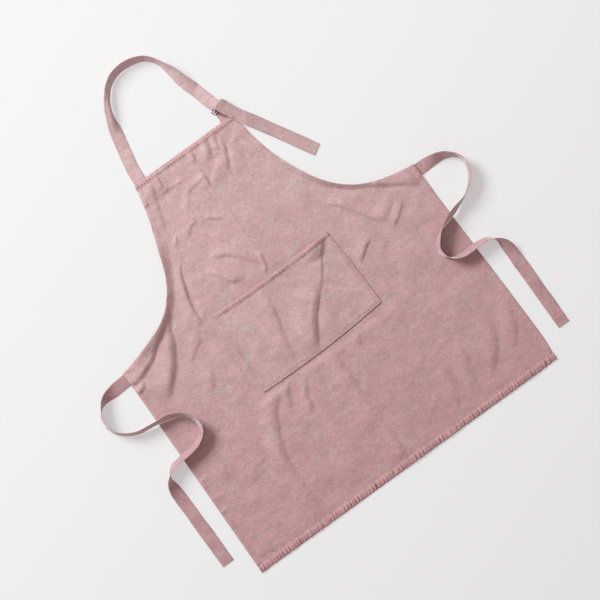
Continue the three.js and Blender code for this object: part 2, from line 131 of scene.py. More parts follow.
def smooth_line(points: Array, samples: int = 10) -> Array:
    """A centripetal Catmull-Rom line.

    Args:
        points: The points that the line goes through, one a row.
        samples: How many points it has for each span.

    Returns:
        The points of the line, one a row.
    """
    points = np.asarray(points, float)
    held = np.vstack([2 * points[0] - points[1], points, 2 * points[-1] - points[-2]])
    pieces = []
    for k in range(len(points) - 1):
        p0, p1, p2, p3 = held[k : k + 4]
        t1 = math.sqrt(np.linalg.norm(p1 - p0)) or 1e-6
        t2 = t1 + (math.sqrt(np.linalg.norm(p2 - p1)) or 1e-6)
        t3 = t2 + (math.sqrt(np.linalg.norm(p3 - p2)) or 1e-6)
        t = np.linspace(t1, t2, samples, endpoint=False)[:, None]
        a1 = ((t1 - t) * p0 + t * p1) / t1
        a2 = ((t2 - t) * p1 + (t - t1) * p2) / (t2 - t1)
        a3 = ((t3 - t) * p2 + (t - t2) * p3) / (t3 - t2)
        b1 = ((t2 - t) * a1 + t * a2) / t2
        b2 = ((t3 - t) * a2 + (t - t1) * a3) / (t3 - t1)
        pieces.append(((t2 - t) * b1 + (t - t1) * b2) / (t2 - t1))
    return np.vstack([*pieces, points[-1:]])


def spread_evenly(points: Array, count: int, axes: int = 3) -> Array:
    """A line's points, set out again at even distances.

    Args:
        points: The line's points, one a row, which may carry more columns than their place.
        count: How many points there will be.
        axes: How many of the columns are the place.

    Returns:
        The new points, with every column carried along.
    """
    steps = np.linalg.norm(np.diff(points[:, :axes], axis=0), axis=1)
    travelled = np.concatenate([[0.0], np.cumsum(steps)])
    wanted = np.linspace(0.0, travelled[-1], count)
    return np.stack([np.interp(wanted, travelled, column) for column in points.T], axis=1)


def line_length(points: Array) -> float:
    """The length of a line through points."""
    return float(np.linalg.norm(np.diff(points, axis=0), axis=1).sum())


@dataclass(frozen=True)
class Nearest:
    """Where points lie by a route: which are near it, how far, on which side and how far along."""

    near: NDArray[np.bool_]
    apart: Array
    side: Array
    share: Array


@dataclass(frozen=True)
class Way:
    """A smooth route over the cloth, and how far from it points still count as near."""

    route: Route
    margin: float

    def nearest(self, x: Array, y: Array) -> Nearest:
        """Measures points against the route.

        Args:
            x, y: The points' places on the apron.

        Returns:
            The near points' distances, their sides, 1 for left and -1 for right, and their shares of
            the way.
        """
        line = smooth_line(np.array(self.route), 8)
        line = spread_evenly(line, len(line), 2)
        low, high = line.min(axis=0) - self.margin, line.max(axis=0) + self.margin
        near = (x > low[0]) & (x < high[0]) & (y > low[1]) & (y < high[1])
        at_x, at_y = x[near], y[near]
        apart = np.full(at_x.shape, np.inf)
        share, side = np.zeros(at_x.shape), np.ones(at_x.shape)
        spans = len(line) - 1
        for k in range(spans):
            run_x, run_y = line[k + 1] - line[k]
            off_x, off_y = at_x - line[k, 0], at_y - line[k, 1]
            along = np.clip((off_x * run_x + off_y * run_y) / (run_x**2 + run_y**2), 0.0, 1.0)
            off = np.hypot(off_x - along * run_x, off_y - along * run_y)
            closer = off < apart
            apart = np.where(closer, off, apart)
            share = np.where(closer, (k + along) / spans, share)
            side = np.where(closer, np.where(run_x * off_y - run_y * off_x > 0, 1, -1), side)
        return Nearest(near, apart, side, share)


@dataclass(frozen=True)
class Fold:
    """A ridge along a route over the cloth, or a dip where its rise is negative."""

    route: Route
    rise: float
    right: float
    left: float
    power: float = 2.0
    ramp: bool = False
    reach: float = 4.0

    def height(self, x: Array, y: Array) -> Array:
        """How much the fold raises each point.

        Args:
            x, y: The points' places on the apron.

        Returns:
            The heights, in the points' own shape.
        """
        away = Way(self.route, self.reach * max(self.right, self.left)).nearest(x, y)
        ends = np.sqrt(np.sin(math.pi * np.clip(away.share, 0.03, 0.97)))
        apart = away.apart / np.where(away.side > 0, self.left, self.right)
        slope = np.clip(1 - apart, 0, 1) ** 1.15 if self.ramp else np.exp(-(apart**self.power))
        raised = np.zeros(np.shape(x))
        raised[away.near] = self.rise * ends * slope
        return raised


@dataclass(frozen=True)
class Crease:
    """A step along a route: the cloth falls steeply to the route and lies flat beyond it.

    The raised side is the one that lies up the apron or to its left.
    """

    route: Route
    rise: float
    steep: float
    gentle: float
    curve: float = 1.7
    reach: float = 2.6
    overrun: float = 0.18
    taper: float = 0.3

    def drawn_out(self) -> Route:
        """Carries the route on a little past both its ends.

        Returns:
            The longer route.
        """
        points = np.array(self.route, float)
        more = self.overrun * line_length(points)
        first = points[0] + more * unit(points[0] - points[1])
        last = points[-1] + more * unit(points[-1] - points[-2])
        return tuple(map(tuple, np.vstack([first, points, last])))

    def height(self, x: Array, y: Array) -> Array:
        """How much the crease raises each point.

        Args:
            x, y: The points' places on the apron.

        Returns:
            The heights, in the points' own shape.
        """
        away = Way(self.drawn_out(), self.steep + self.reach * self.gentle).nearest(x, y)
        run_x, run_y = np.subtract(self.route[-1], self.route[0])
        raised_side = 1 if -run_y * UPHILL[0] + run_x * UPHILL[1] > 0 else -1
        apart = np.where(away.side == raised_side, away.apart, 0.0)
        wall = 1 - (1 - np.clip(apart / self.steep, 0, 1)) ** self.curve
        fade = bell(np.clip(apart - self.steep, 0, None), self.gentle)
        ends = ease(np.minimum(away.share, 1 - away.share), 0.0, self.taper)
        raised = np.zeros(np.shape(x))
        raised[away.near] = self.rise * ends * wall * fade
        return raised


@dataclass(frozen=True)
class Crumple:
    """The small uneven waves of washed cloth, from a fixed seed."""

    seed: int
    wavelength: float
    rise: float
    ridged: bool = False
    waves: int = 16

    def height(self, x: Array, y: Array) -> Array:
        """How much the waves raise each point.

        Args:
            x, y: The points' places across and along the cloth.

        Returns:
            The heights, about even above and below zero.
        """
        draw = np.random.default_rng(self.seed)
        total = np.zeros(np.shape(x))
        for _ in range(self.waves):
            turn, phase = draw.uniform(0, 2 * math.pi, 2)
            number = 2 * math.pi / (self.wavelength * draw.uniform(0.7, 1.6))
            total += np.sin(number * (x * math.cos(turn) + y * math.sin(turn)) + phase)
        total *= math.sqrt(2 / self.waves)
        if self.ridged:
            total = 1.0 - 1.6 * np.sqrt(np.abs(total))
        return self.rise * total


class NodeBoard:
    """Adds nodes to a tree and joins them."""

    def __init__(self, tree: bpy.types.NodeTree) -> None:
        """Keeps the tree, emptied."""
        self.tree = tree
        tree.nodes.clear()

    def add(self, kind: str, inputs: dict | None = None, **settings: object) -> bpy.types.Node:
        """Adds one node.

        Args:
            kind: The node's type name.
            inputs: Values, or other nodes' outputs to join, by the input's name or place.
            settings: The node's own properties.

        Returns:
            The node.
        """
        node = self.tree.nodes.new(kind)
        for key, value in settings.items():
            setattr(node, key, value)
        for key, value in (inputs or {}).items():
            if isinstance(value, Socket):
                self.tree.links.new(value, node.inputs[key])
            else:
                node.inputs[key].default_value = value
        return node

    def math(self, kind: str, *values: object) -> Socket:
        """Adds a Math node on numbers or outputs, and returns its output."""
        return self.add("ShaderNodeMath", dict(enumerate(values)), operation=kind).outputs[0]

    def vector(self, kind: str, *values: object) -> Socket:
        """Adds a Vector Math node on vectors or outputs, and returns its output."""
        return self.add("ShaderNodeVectorMath", dict(enumerate(values)), operation=kind).outputs[0]

    def remap(self, value: Socket, low: float, high: float, to_low: float = 0.0,
              to_high: float = 1.0) -> Socket:
        """Adds a clamped Map Range that takes low to to_low and high to to_high."""
        places = {0: value, 1: low, 2: high, 3: to_low, 4: to_high}
        return self.add("ShaderNodeMapRange", places).outputs[0]

    def blend(self, kind: str, share: object, first: object, second: object) -> Socket:
        """Adds a mix of two colours or outputs, with so much of the second one."""
        places = {0: share, 6: first, 7: second}
        return self.add("ShaderNodeMix", places, data_type="RGBA", blend_type=kind).outputs[2]

    def times(self, first: object, second: object) -> Socket:
        """Multiplies two colours in full, and returns the product's output."""
        return self.blend("MULTIPLY", 1.0, first, second)

    def noise(self, place: Socket, scale: float, detail: float, roughness: float = 0.5) -> Socket:
        """Adds a noise texture that is read at a place, and returns its value."""
        inputs = {"Vector": place, "Scale": scale, "Detail": detail, "Roughness": roughness}
        return self.add("ShaderNodeTexNoise", inputs).outputs[0]


def opaque(colour: Colour) -> tuple[float, ...]:
    """A colour with full alpha."""
    return (*colour, 1.0)


@dataclass(frozen=True)
class Finish:
    """A material that is made once, under its own name."""

    name: str

    def shader(self, board: NodeBoard) -> bpy.types.Node:
        """The finish's shader, added to an empty board."""
        raise NotImplementedError

    def material(self) -> bpy.types.Material:
        """Makes the material at the first call, and finds it again later.

        Returns:
            The finish's material.
        """
        made = bpy.data.materials.get(self.name)
        if made is None:
            made = bpy.data.materials.new(self.name)
            made.use_nodes = True
            board = NodeBoard(made.node_tree)
            board.add("ShaderNodeOutputMaterial", {"Surface": self.shader(board).outputs[0]})
        return made


@dataclass(frozen=True)
class LinenFinish(Finish):
    """Washed linen: slubby threads both ways, faint faded patches and pinker drawn-up ridges, with
    painted shade in the pits and dips that the cloth marks.

    A rate is how many times a noise repeats in a metre: across the cloth, along it and in depth.
    """

    slot: Slot
    low: Colour
    high: Colour
    ridge: Colour
    centre_fold_shading: float = 0.0
    grain: float = 0.39
    patches: float = 0.085
    sheen: float = 0.10
    # The pit colour multiplies in as painted shade where the pucker mark is negative.
    pit: Colour = (0.50, 0.31, 0.34)
    ridge_share: float = 0.7
    tone_span: Span = (-0.42, 0.14)
    centre_fold_half: float = 0.004
    weft_rate: Rate = (110.0, 740.0, 1.0)
    warp_rate: Rate = (760.0, 170.0, 1.0)
    speck_rate: Rate = (480.0, 600.0, 1.0)
    thread_shares: tuple[float, ...] = (0.42, 0.30, 0.28)
    thread_band: Span = (0.3, 0.7)
    fade_rate: Rate = (24.0, 46.0, 1.0)
    fade_band: Span = (0.53, 0.72)
    cloud_rate: Rate = (30.0, 52.0, 1.0)
    cloud_band: Span = (0.32, 0.68)
    slub_pitch: float = 0.0042
    slub_patches: float = 34.0
    slub_band: Span = (0.5, 0.68)
    slub_tone: Span = (0.99, 1.15)
    thread_pitch: float = 0.00075
    weave_rise: float = 0.16
    crinkle_rate: float = 150.0
    crinkle_rise: float = 0.8
    bump_depth: float = 0.0010
    roughness: Span = (0.98, 0.82)

    def streaks(self, board: NodeBoard, place: Socket, rate: Rate, detail: float) -> Socket:
        """Noise at a rate of its own along each thread direction."""
        drawn = board.add("ShaderNodeMapping", {"Vector": place, "Scale": rate}).outputs[0]
        return board.noise(drawn, 1.0, detail, 0.6)

    def threads(self, board: NodeBoard, place: Socket) -> Socket:
        """The uneven threads, more of them along the weft.

        Args:
            board: Where the nodes go.
            place: The map coordinates.

        Returns:
            The threads' output, about even round one half.
        """
        rates = (self.weft_rate, self.warp_rate, self.speck_rate)
        weft, warp, speck = [self.streaks(board, place, rate, 2.0) for rate in rates]
        weft_share, warp_share, speck_share = self.thread_shares
        lines = board.math("MULTIPLY_ADD", weft, weft_share, board.math("MULTIPLY", warp, warp_share))
        return board.math("MULTIPLY_ADD", speck, speck_share, lines)

    def bands(self, board: NodeBoard, place: Socket, pitch: float, wobble: float,
              fineness: float) -> list[Socket]:
        """Uneven bands along the warp, and bands along the weft, at a pitch in metres."""
        inputs = {"Vector": place, "Scale": 2 * math.pi / (BANDS_PER_SCALE * pitch), "Distortion": wobble,
                  "Detail": 1.0, "Detail Scale": fineness}
        return [board.add("ShaderNodeTexWave", inputs, bands_direction=way).outputs[1] for way in "XY"]

    def colour(self, board: NodeBoard, place: Socket, grain: Socket) -> Socket:
        """The linen's colour over the cloth.

        Args:
            board: Where the nodes go.
            place: The map coordinates.
            grain: The threads, about even round one half.

        Returns:
            The colour's output.
        """
        parts = board.add("ShaderNodeSeparateXYZ", {0: place}).outputs
        up = board.remap(parts[1], *self.tone_span)
        tone = board.blend("MIX", up, opaque(self.low), opaque(self.high))
        fade = board.remap(self.streaks(board, place, self.fade_rate, 5.0), *self.fade_band)
        faded = (0.975, 1 + 2.0 * self.patches, 1 + 1.3 * self.patches)
        tone = board.times(tone, board.blend("MIX", fade, opaque(WHITE), opaque(faded)))
        cloud = self.streaks(board, place, self.cloud_rate, 4.0)
        tone = board.times(tone, board.remap(cloud, *self.cloud_band, 1 - self.patches, 1 + self.patches))
        checks = board.math("MULTIPLY", *self.bands(board, place, self.slub_pitch, 1.4, 0.3))
        patch = board.remap(board.noise(place, self.slub_patches, 2.0), *self.slub_band)
        slubs = board.math("MULTIPLY", checks, patch)
        tone = board.times(tone, board.remap(slubs, 0.0, 1.0, *self.slub_tone))
        # Painted light and shade: the left half is a little lighter and the right half a little darker,
        # as light falls on the two sides of the pressed centre fold.
        if self.centre_fold_shading:
            fold_shading_step = board.remap(parts[0], -self.centre_fold_half, self.centre_fold_half,
                                1 + self.centre_fold_shading, 1 - self.centre_fold_shading)
            tone = board.times(tone, fold_shading_step)
        red, other = 0.85 * self.grain, 1.15 * self.grain
        thin, thick = (1 - red, 1 - other, 1 - other), (1 + red, 1 + other, 1 + other)
        thread = board.remap(grain, *self.thread_band)
        tone = board.times(tone, board.blend("MIX", thread, opaque(thin), opaque(thick)))
        drawn = board.add("ShaderNodeAttribute", attribute_name="pucker").outputs[2]
        ridge = board.remap(drawn, 0.0, 1.0, 0.0, self.ridge_share)
        tone = board.blend("MIX", ridge, tone, opaque(self.ridge))
        # Painted shade: negative pucker marks, from pits, dips and shade marks, blend in the pit colour.
        pit = board.remap(drawn, -1.0, 0.0, 1.0, 0.0)
        return board.times(tone, board.blend("MIX", pit, opaque(WHITE), opaque(self.pit)))

    def shader(self, board: NodeBoard) -> bpy.types.Node:
        """The linen's shader, with its threads, weave and crinkles as a bump.

        Args:
            board: Where the nodes go.

        Returns:
            The shader's node.
        """
        place = board.add("ShaderNodeUVMap", uv_map=MAP_NAME).outputs[0]
        grain = self.threads(board, place)
        crinkle = board.noise(place, self.crinkle_rate, 4.0, 0.6)
        weave = board.math("ADD", *self.bands(board, place, self.thread_pitch, 1.2, 0.4))
        height = board.math("MULTIPLY_ADD", weave, self.weave_rise, grain)
        height = board.math("MULTIPLY_ADD", crinkle, self.crinkle_rise, height)
        bump_in = {"Strength": 0.45, "Distance": self.bump_depth, "Height": height}
        bump = board.add("ShaderNodeBump", bump_in)
        return board.add("ShaderNodeBsdfPrincipled", {
            "Base Color": self.colour(board, place, grain),
            "Roughness": board.remap(grain, *self.thread_band, *self.roughness),
            "Normal": bump.outputs[0], "Specular IOR Level": 0.18, "Sheen Weight": self.sheen,
            "Sheen Roughness": 0.45, "Sheen Tint": (1.0, 0.93, 0.93, 1.0)})


@dataclass(frozen=True)
class ThreadFinish(Finish):
    """Sewing thread, a little darker than the linen."""

    name: str = "sewing_thread"
    dark: Colour = (0.36, 0.20, 0.21)
    light: Colour = (0.66, 0.51, 0.50)
    ply_rate: float = 320.0

    def shader(self, board: NodeBoard) -> bpy.types.Node:
        """The thread's shader, with its ply as tone and bump.

        Args:
            board: Where the nodes go.

        Returns:
            The shader's node.
        """
        ply = board.noise(board.add("ShaderNodeTexCoord").outputs["Object"], self.ply_rate, 3.0)
        lit = board.remap(ply, 0.35, 0.65)
        bump = board.add("ShaderNodeBump", {"Strength": 0.4, "Distance": 0.0001, "Height": ply})
        return board.add("ShaderNodeBsdfPrincipled", {
            "Base Color": board.blend("MIX", lit, opaque(self.dark), opaque(self.light)),
            "Roughness": 0.75, "Normal": bump.outputs[0], "Sheen Weight": 0.15})


@dataclass(frozen=True)
class RingFinish(Finish):
    """Pale satin wire, faintly scratched along its length."""

    name: str = "satin_wire"
    bright: Colour = (0.66, 0.64, 0.62)
    dull: Colour = (0.44, 0.43, 0.41)
    scratch_rate: Rate = (250.0, 2200.0, 2200.0)

    def shader(self, board: NodeBoard) -> bpy.types.Node:
        """The wire's shader, with its scratches as tone, roughness and bump.

        Args:
            board: Where the nodes go.

        Returns:
            The shader's node.
        """
        place = board.add("ShaderNodeTexCoord").outputs["Object"]
        drawn = board.add("ShaderNodeMapping", {"Vector": place, "Scale": self.scratch_rate}).outputs[0]
        scratch = board.noise(drawn, 1.0, 4.0)
        worn = board.remap(scratch, 0.35, 0.7)
        bump = board.add("ShaderNodeBump", {"Strength": 0.25, "Distance": 0.00005, "Height": scratch})
        return board.add("ShaderNodeBsdfPrincipled", {
            "Base Color": board.blend("MIX", worn, opaque(self.dull), opaque(self.bright)),
            "Roughness": board.remap(scratch, 0.3, 0.7, 0.38, 0.55),
            "Normal": bump.outputs[0], "Metallic": 1.0})


@dataclass(frozen=True)
class FloorFinish(Finish):
    """A plain pale surface that glows as painted light, so that shadows on it stay faint; the glow grows
    up the apron and to its left as the light falls off.
    """

    name: str = "pale_surface"
    tone: Colour = (0.44, 0.44, 0.436)
    glow_tint: Colour = (1.0, 1.0, 0.995)
    glow_span: Span = (-0.9, 0.7)
    glow_near: float = 0.343
    glow_far: float = 0.421
    lean: float = -0.25

    def shader(self, board: NodeBoard) -> bpy.types.Node:
        """The surface's shader, with its painted-light glow rising up the apron.

        Args:
            board: Where the nodes go.

        Returns:
            The shader's node.
        """
        place = board.add("ShaderNodeTexCoord").outputs["Object"]
        parts = board.add("ShaderNodeSeparateXYZ", {0: place}).outputs
        up = board.math("MULTIPLY_ADD", parts[0], self.lean, parts[1])
        return board.add("ShaderNodeBsdfPrincipled", {
            "Base Color": opaque(self.tone), "Roughness": 0.9, "Specular IOR Level": 0.1,
            "Emission Color": opaque(self.glow_tint),
            "Emission Strength": board.remap(up, *self.glow_span, self.glow_near, self.glow_far)})


def wall_mesh(name: str, front: Array, back: Array, flat: Array, step: int = 1,
              marks: dict[str, Array] | None = None, crisp: bool = False) -> bpy.types.Mesh:
    """A closed wall of cloth between two faces that share their rows and columns.

    Args:
        name: The mesh's name.
        front: The front face's points, rows by columns, in the apron's frame.
        back: The back face's points, likewise.
        flat: Each point's place on the flat cloth.
        step: The back keeps every step-th row and column.
        marks: Named values or vectors for each point.
        crisp: Whether the front's rim is a sharp edge.

    Returns:
        The mesh, smooth shaded, with its flat cloth map.
    """
    rows, columns = front.shape[:2]
    thin = back[::step, ::step]
    fronts = np.arange(rows * columns).reshape(rows, columns)
    backs = fronts.size + np.arange(thin.shape[0] * thin.shape[1]).reshape(thin.shape[:2])

    def quads(ids: NDArray[np.int64]) -> NDArray[np.int64]:
        """The four corners of every cell of a grid of numbers."""
        corners = (ids[:-1, :-1], ids[:-1, 1:], ids[1:, 1:], ids[1:, :-1])
        return np.stack([corner.ravel() for corner in corners], axis=1)

    faces = quads(fronts).tolist() + quads(backs)[:, ::-1].tolist()
    rims = ((fronts[0], backs[0]), (fronts[:, -1], backs[:, -1]),
            (fronts[-1, ::-1], backs[-1, ::-1]), (fronts[::-1, 0], backs[::-1, 0]))
    for upper, lower in rims:
        for k in range(len(lower) - 1):
            over = upper[k * step : (k + 1) * step + 1][::-1]
            faces.append([int(lower[k]), int(lower[k + 1]), *over.tolist()])

    def gathered(values: Array) -> Array:
        """Values of the front's points, then of the points that the back keeps."""
        width = values.shape[2] if values.ndim == 3 else 1
        return np.vstack([values.reshape(-1, width), values[::step, ::step].reshape(-1, width)])

    points = np.vstack([front.reshape(-1, 3), thin.reshape(-1, 3)])
    mesh = bpy.data.meshes.new(name)
    mesh.from_pydata(to_frame(points).tolist(), [], faces)
    loops = np.empty(len(mesh.loops), np.int32)
    mesh.loops.foreach_get("vertex_index", loops)
    layer = mesh.uv_layers.new(name=MAP_NAME)
    layer.data.foreach_set("uv", (gathered(flat)[loops] * MM).astype(np.float32).ravel())
    for mark, values in (marks or {}).items():
        vector = values.ndim == 3
        kind = "FLOAT_VECTOR" if vector else "FLOAT"
        attribute = mesh.attributes.new(mark, kind, "POINT")
        attribute.data.foreach_set("vector" if vector else "value",
                                   gathered(values).astype(np.float32).ravel())
    mesh.shade_smooth()
    if crisp:
        rim = np.zeros(len(mesh.vertices), bool)
        rim[np.concatenate([fronts[0], fronts[-1], fronts[:, 0], fronts[:, -1]])] = True
        ends = np.empty(2 * len(mesh.edges), np.int32)
        mesh.edges.foreach_get("vertices", ends)
        sharp = mesh.attributes.new("sharp_edge", "BOOLEAN", "EDGE")
        sharp.data.foreach_set("value", rim[ends.reshape(-1, 2)].all(axis=1))
    return mesh


def place_piece(name: str, mesh: bpy.types.Mesh) -> Piece:
    """Puts a mesh in the scene as an object at the origin.

    Args:
        name: The object's name.
        mesh: Its mesh.

    Returns:
        The object.
    """
    piece = bpy.data.objects.new(name, mesh)
    bpy.context.scene.collection.objects.link(piece)
    return piece


class NodeShape:
    """A Geometry Nodes tree with named inputs, and the plain mesh that it makes."""

    def __init__(self, name: str, numbers: tuple[str, ...]) -> None:
        """Makes the tree's sockets.

        Args:
            name: The tree's name.
            numbers: The names of its number inputs.
        """
        self.tree = bpy.data.node_groups.new(name, "GeometryNodeTree")
        self.board = NodeBoard(self.tree)
        face = self.tree.interface
        face.new_socket("Geometry", in_out="INPUT", socket_type="NodeSocketGeometry")
        self.sockets = {
            number: face.new_socket(number, in_out="INPUT", socket_type="NodeSocketFloat").identifier
            for number in numbers}
        made = face.new_socket("Finish", in_out="INPUT", socket_type="NodeSocketMaterial")
        self.sockets["Finish"] = made.identifier
        face.new_socket("Geometry", in_out="OUTPUT", socket_type="NodeSocketGeometry")
        self.given = self.board.add("NodeGroupInput").outputs

    def close(self, geometry: Socket) -> None:
        """Ends the tree in Realize Instances and Set Material.

        Args:
            geometry: The output that holds the shape.
        """
        board = self.board
        smooth = board.add("GeometryNodeSetShadeSmooth", {"Geometry": geometry}).outputs[0]
        real = board.add("GeometryNodeRealizeInstances", {"Geometry": smooth}).outputs[0]
        dressed = board.add("GeometryNodeSetMaterial", {
            "Geometry": real, "Material": self.given["Finish"]})
        board.add("NodeGroupOutput", {0: dressed.outputs[0]})

    def make(self, name: str, start: bpy.types.Mesh, finish: bpy.types.Material,
             **numbers: float) -> Piece:
        """Runs the tree on a mesh and keeps the result as a plain mesh.

        Args:
            name: The piece's name.
            start: The mesh that the tree starts from.
            finish: The material that it sets.
            numbers: The values of the named inputs.

        Returns:
            The piece.
        """
        source = place_piece(name + "_source", start)
        nodes = source.modifiers.new(self.tree.name, "NODES")
        nodes.node_group = self.tree
        nodes[self.sockets["Finish"]] = finish
        for number, value in numbers.items():
            nodes[self.sockets[number]] = float(value)
        ready = source.evaluated_get(bpy.context.evaluated_depsgraph_get())
        made = bpy.data.meshes.new_from_object(ready)
        made.name = name
        source.modifiers.remove(nodes)
        bpy.data.objects.remove(source)
        bpy.data.meshes.remove(start)
        return place_piece(name, made)


class PuckerShape(NodeShape):
    """Draws a band of cloth up into puckers and pits along its length, as a tight seam does, and stores
    its tint: pinker ridges, with painted shade in the pits and wherever the band carries a shade mark.
    """

    NUMBERS = ("Pitch", "Rise", "Scallop", "Slant", "Wander", "Pit", "Tint", "Seed")
    NOISE_BAND = (0.3, 0.7)
    WANDER_RATE = 34.0
    STRENGTH_RATE = 62.0
    STRENGTH = (0.2, 1.4)
    PIT_RATE = 30.0
    PIT_DEPTH = (0.75, 1.3)
    PIT_SHADE = 1.4
    RIDGE_TINT = 0.5

    def __init__(self) -> None:
        """Builds the tree. The band carries its run, its looseness, its pits, its painted shade and its
        two directions.
        """
        super().__init__("drawn_up_band", self.NUMBERS)
        board, given = self.board, self.given

        def mark(name: str, kind: str = "FLOAT") -> Socket:
            """A named value of the band's points."""
            return board.add("GeometryNodeInputNamedAttribute", {"Name": name}, data_type=kind).outputs[0]

        def uneven(rate: float, offset: float, detail: float) -> Socket:
            """Noise along the run, from the tree's seed."""
            away = board.math("MULTIPLY_ADD", run, rate, board.math("ADD", given["Seed"], offset))
            return board.add("ShaderNodeTexNoise", {"W": away, "Scale": 1.0, "Detail": detail},
                             noise_dimensions="1D").outputs[0]

        run, across = mark("run"), mark("across")
        turns = board.math("DIVIDE", run, given["Pitch"])
        turns = board.math("MULTIPLY_ADD", across, given["Slant"], turns)
        turns = board.math("MULTIPLY_ADD", uneven(self.WANDER_RATE, 0.0, 2.0), given["Wander"], turns)
        wave = board.math("SINE", board.math("MULTIPLY", turns, 2 * math.pi))
        strength = board.remap(uneven(self.STRENGTH_RATE, 40.0, 1.0), *self.NOISE_BAND, *self.STRENGTH)
        loose = board.math("MULTIPLY", mark("loose"), strength)
        pucker = board.math("MULTIPLY", wave, loose)
        hollow = board.math("MAXIMUM", board.math("MULTIPLY", wave, -1.0), 0.0)
        depth = board.remap(uneven(self.PIT_RATE, 80.0, 1.0), *self.NOISE_BAND, *self.PIT_DEPTH)
        pitted = board.math("MULTIPLY", mark("pit"), depth)
        pit = board.math("MULTIPLY", hollow, pitted)
        lift = board.math("MULTIPLY", board.math("ADD", pucker, loose), given["Rise"])
        lift = board.math("MULTIPLY_ADD", board.math("SUBTRACT", pitted, pit), given["Pit"], lift)
        pull = board.math("MULTIPLY", board.math("SUBTRACT", pucker, loose), given["Scallop"])
        shifts = []
        for way, amount in (("raise", lift), ("outward", pull)):
            scale_in = {0: mark(way, "FLOAT_VECTOR"), 3: amount}
            shifts.append(board.add("ShaderNodeVectorMath", scale_in, operation="SCALE").outputs[0])
        moved = board.add("GeometryNodeSetPosition", {
            "Geometry": given["Geometry"], "Offset": board.vector("ADD", *shifts)}).outputs[0]
        tinted = board.math("MULTIPLY", mark("loose"), given["Tint"])
        ridge = board.math("MULTIPLY_ADD", board.math("MAXIMUM", pucker, 0.0), self.RIDGE_TINT, tinted)
        # Painted shade: the pits and the shade mark make the stored tint negative, which darkens the
        # cloth.
        dark = board.math("MULTIPLY_ADD", pit, self.PIT_SHADE, mark("shade"))
        tint = board.math("SUBTRACT", ridge, dark)
        stored = board.add("GeometryNodeStoreNamedAttribute", {
            "Geometry": moved, "Name": "pucker", "Value": tint}, data_type="FLOAT", domain="POINT")
        self.close(stored.outputs[0])


class StitchShape(NodeShape):
    """Lays a stitch at every pitch along lines on the cloth."""

    SIDES = 6
    RINGS = 4
    SHORTEST = 0.86
    LONGEST = 1.1
    SEED = 7

    def __init__(self) -> None:
        """Builds the tree. Each line carries the direction that its cloth faces."""
        super().__init__("stitch_run", ("Pitch", "Length", "Thickness"))
        board, given = self.board, self.given
        line = board.add("GeometryNodeMeshToCurve", {"Mesh": given["Geometry"]}).outputs[0]
        spaced = board.add("GeometryNodeResampleCurve", {"Curve": line, "Length": given["Pitch"]},
                           mode="LENGTH").outputs[0]
        along = board.add("GeometryNodeInputTangent").outputs[0]
        facing = board.add("GeometryNodeInputNamedAttribute", {"Name": "facing"},
                           data_type="FLOAT_VECTOR").outputs[0]
        ahead = board.add("FunctionNodeAlignRotationToVector", {"Vector": along},
                          axis="X", pivot_axis="AUTO").outputs[0]
        flat = board.add("FunctionNodeAlignRotationToVector", {"Rotation": ahead, "Vector": facing},
                         axis="Z", pivot_axis="X").outputs[0]
        uneven_in = {2: self.SHORTEST, 3: self.LONGEST, "Seed": self.SEED}
        uneven = board.add("FunctionNodeRandomValue", uneven_in, data_type="FLOAT").outputs[1]
        reach = board.math("MULTIPLY", given["Length"], uneven)
        size = board.add("ShaderNodeCombineXYZ", {0: reach, 1: given["Thickness"], 2: given["Thickness"]})
        stitch = board.add("GeometryNodeMeshUVSphere", {
            "Segments": self.SIDES, "Rings": self.RINGS, "Radius": 0.5}).outputs[0]
        laid = board.add("GeometryNodeInstanceOnPoints", {
            "Points": spaced, "Instance": stitch, "Rotation": flat, "Scale": size.outputs[0]})
        self.close(laid.outputs[0])


class WireShape(NodeShape):
    """Draws a round wire along a closed line."""

    SIDES = 16

    def __init__(self) -> None:
        """Builds the tree."""
        super().__init__("wire_loop", ("Radius",))
        board, given = self.board, self.given
        line = board.add("GeometryNodeMeshToCurve", {"Mesh": given["Geometry"]}).outputs[0]
        section = board.add("GeometryNodeCurvePrimitiveCircle", {
            "Resolution": self.SIDES, "Radius": given["Radius"]}, mode="RADIUS").outputs[0]
        wire = board.add("GeometryNodeCurveToMesh", {"Curve": line, "Profile Curve": section})
        self.close(wire.outputs[0])


@dataclass(frozen=True)
class StitchLine:
    """One line of stitching on the cloth, and the way that the cloth faces along it."""

    points: Array
    facing: Array

    @classmethod
    def level(cls, points: Array) -> "StitchLine":
        """A line on cloth that faces straight up."""
        return cls(points, np.tile(UPWARD, (len(points), 1)))


@dataclass(frozen=True)
class Puckers:
    """How far a seam draws the cloth up along a band, and the row of pits that it leaves."""

    pitch: float
    rise: float
    scallop: float
    slant: float
    seed: float
    draw: float = 1.0
    pit: float = 0.0
    pit_at: float = 0.4
    pit_reach: float = 0.2
    tint: float = 0.0
    wander: float = 1.8


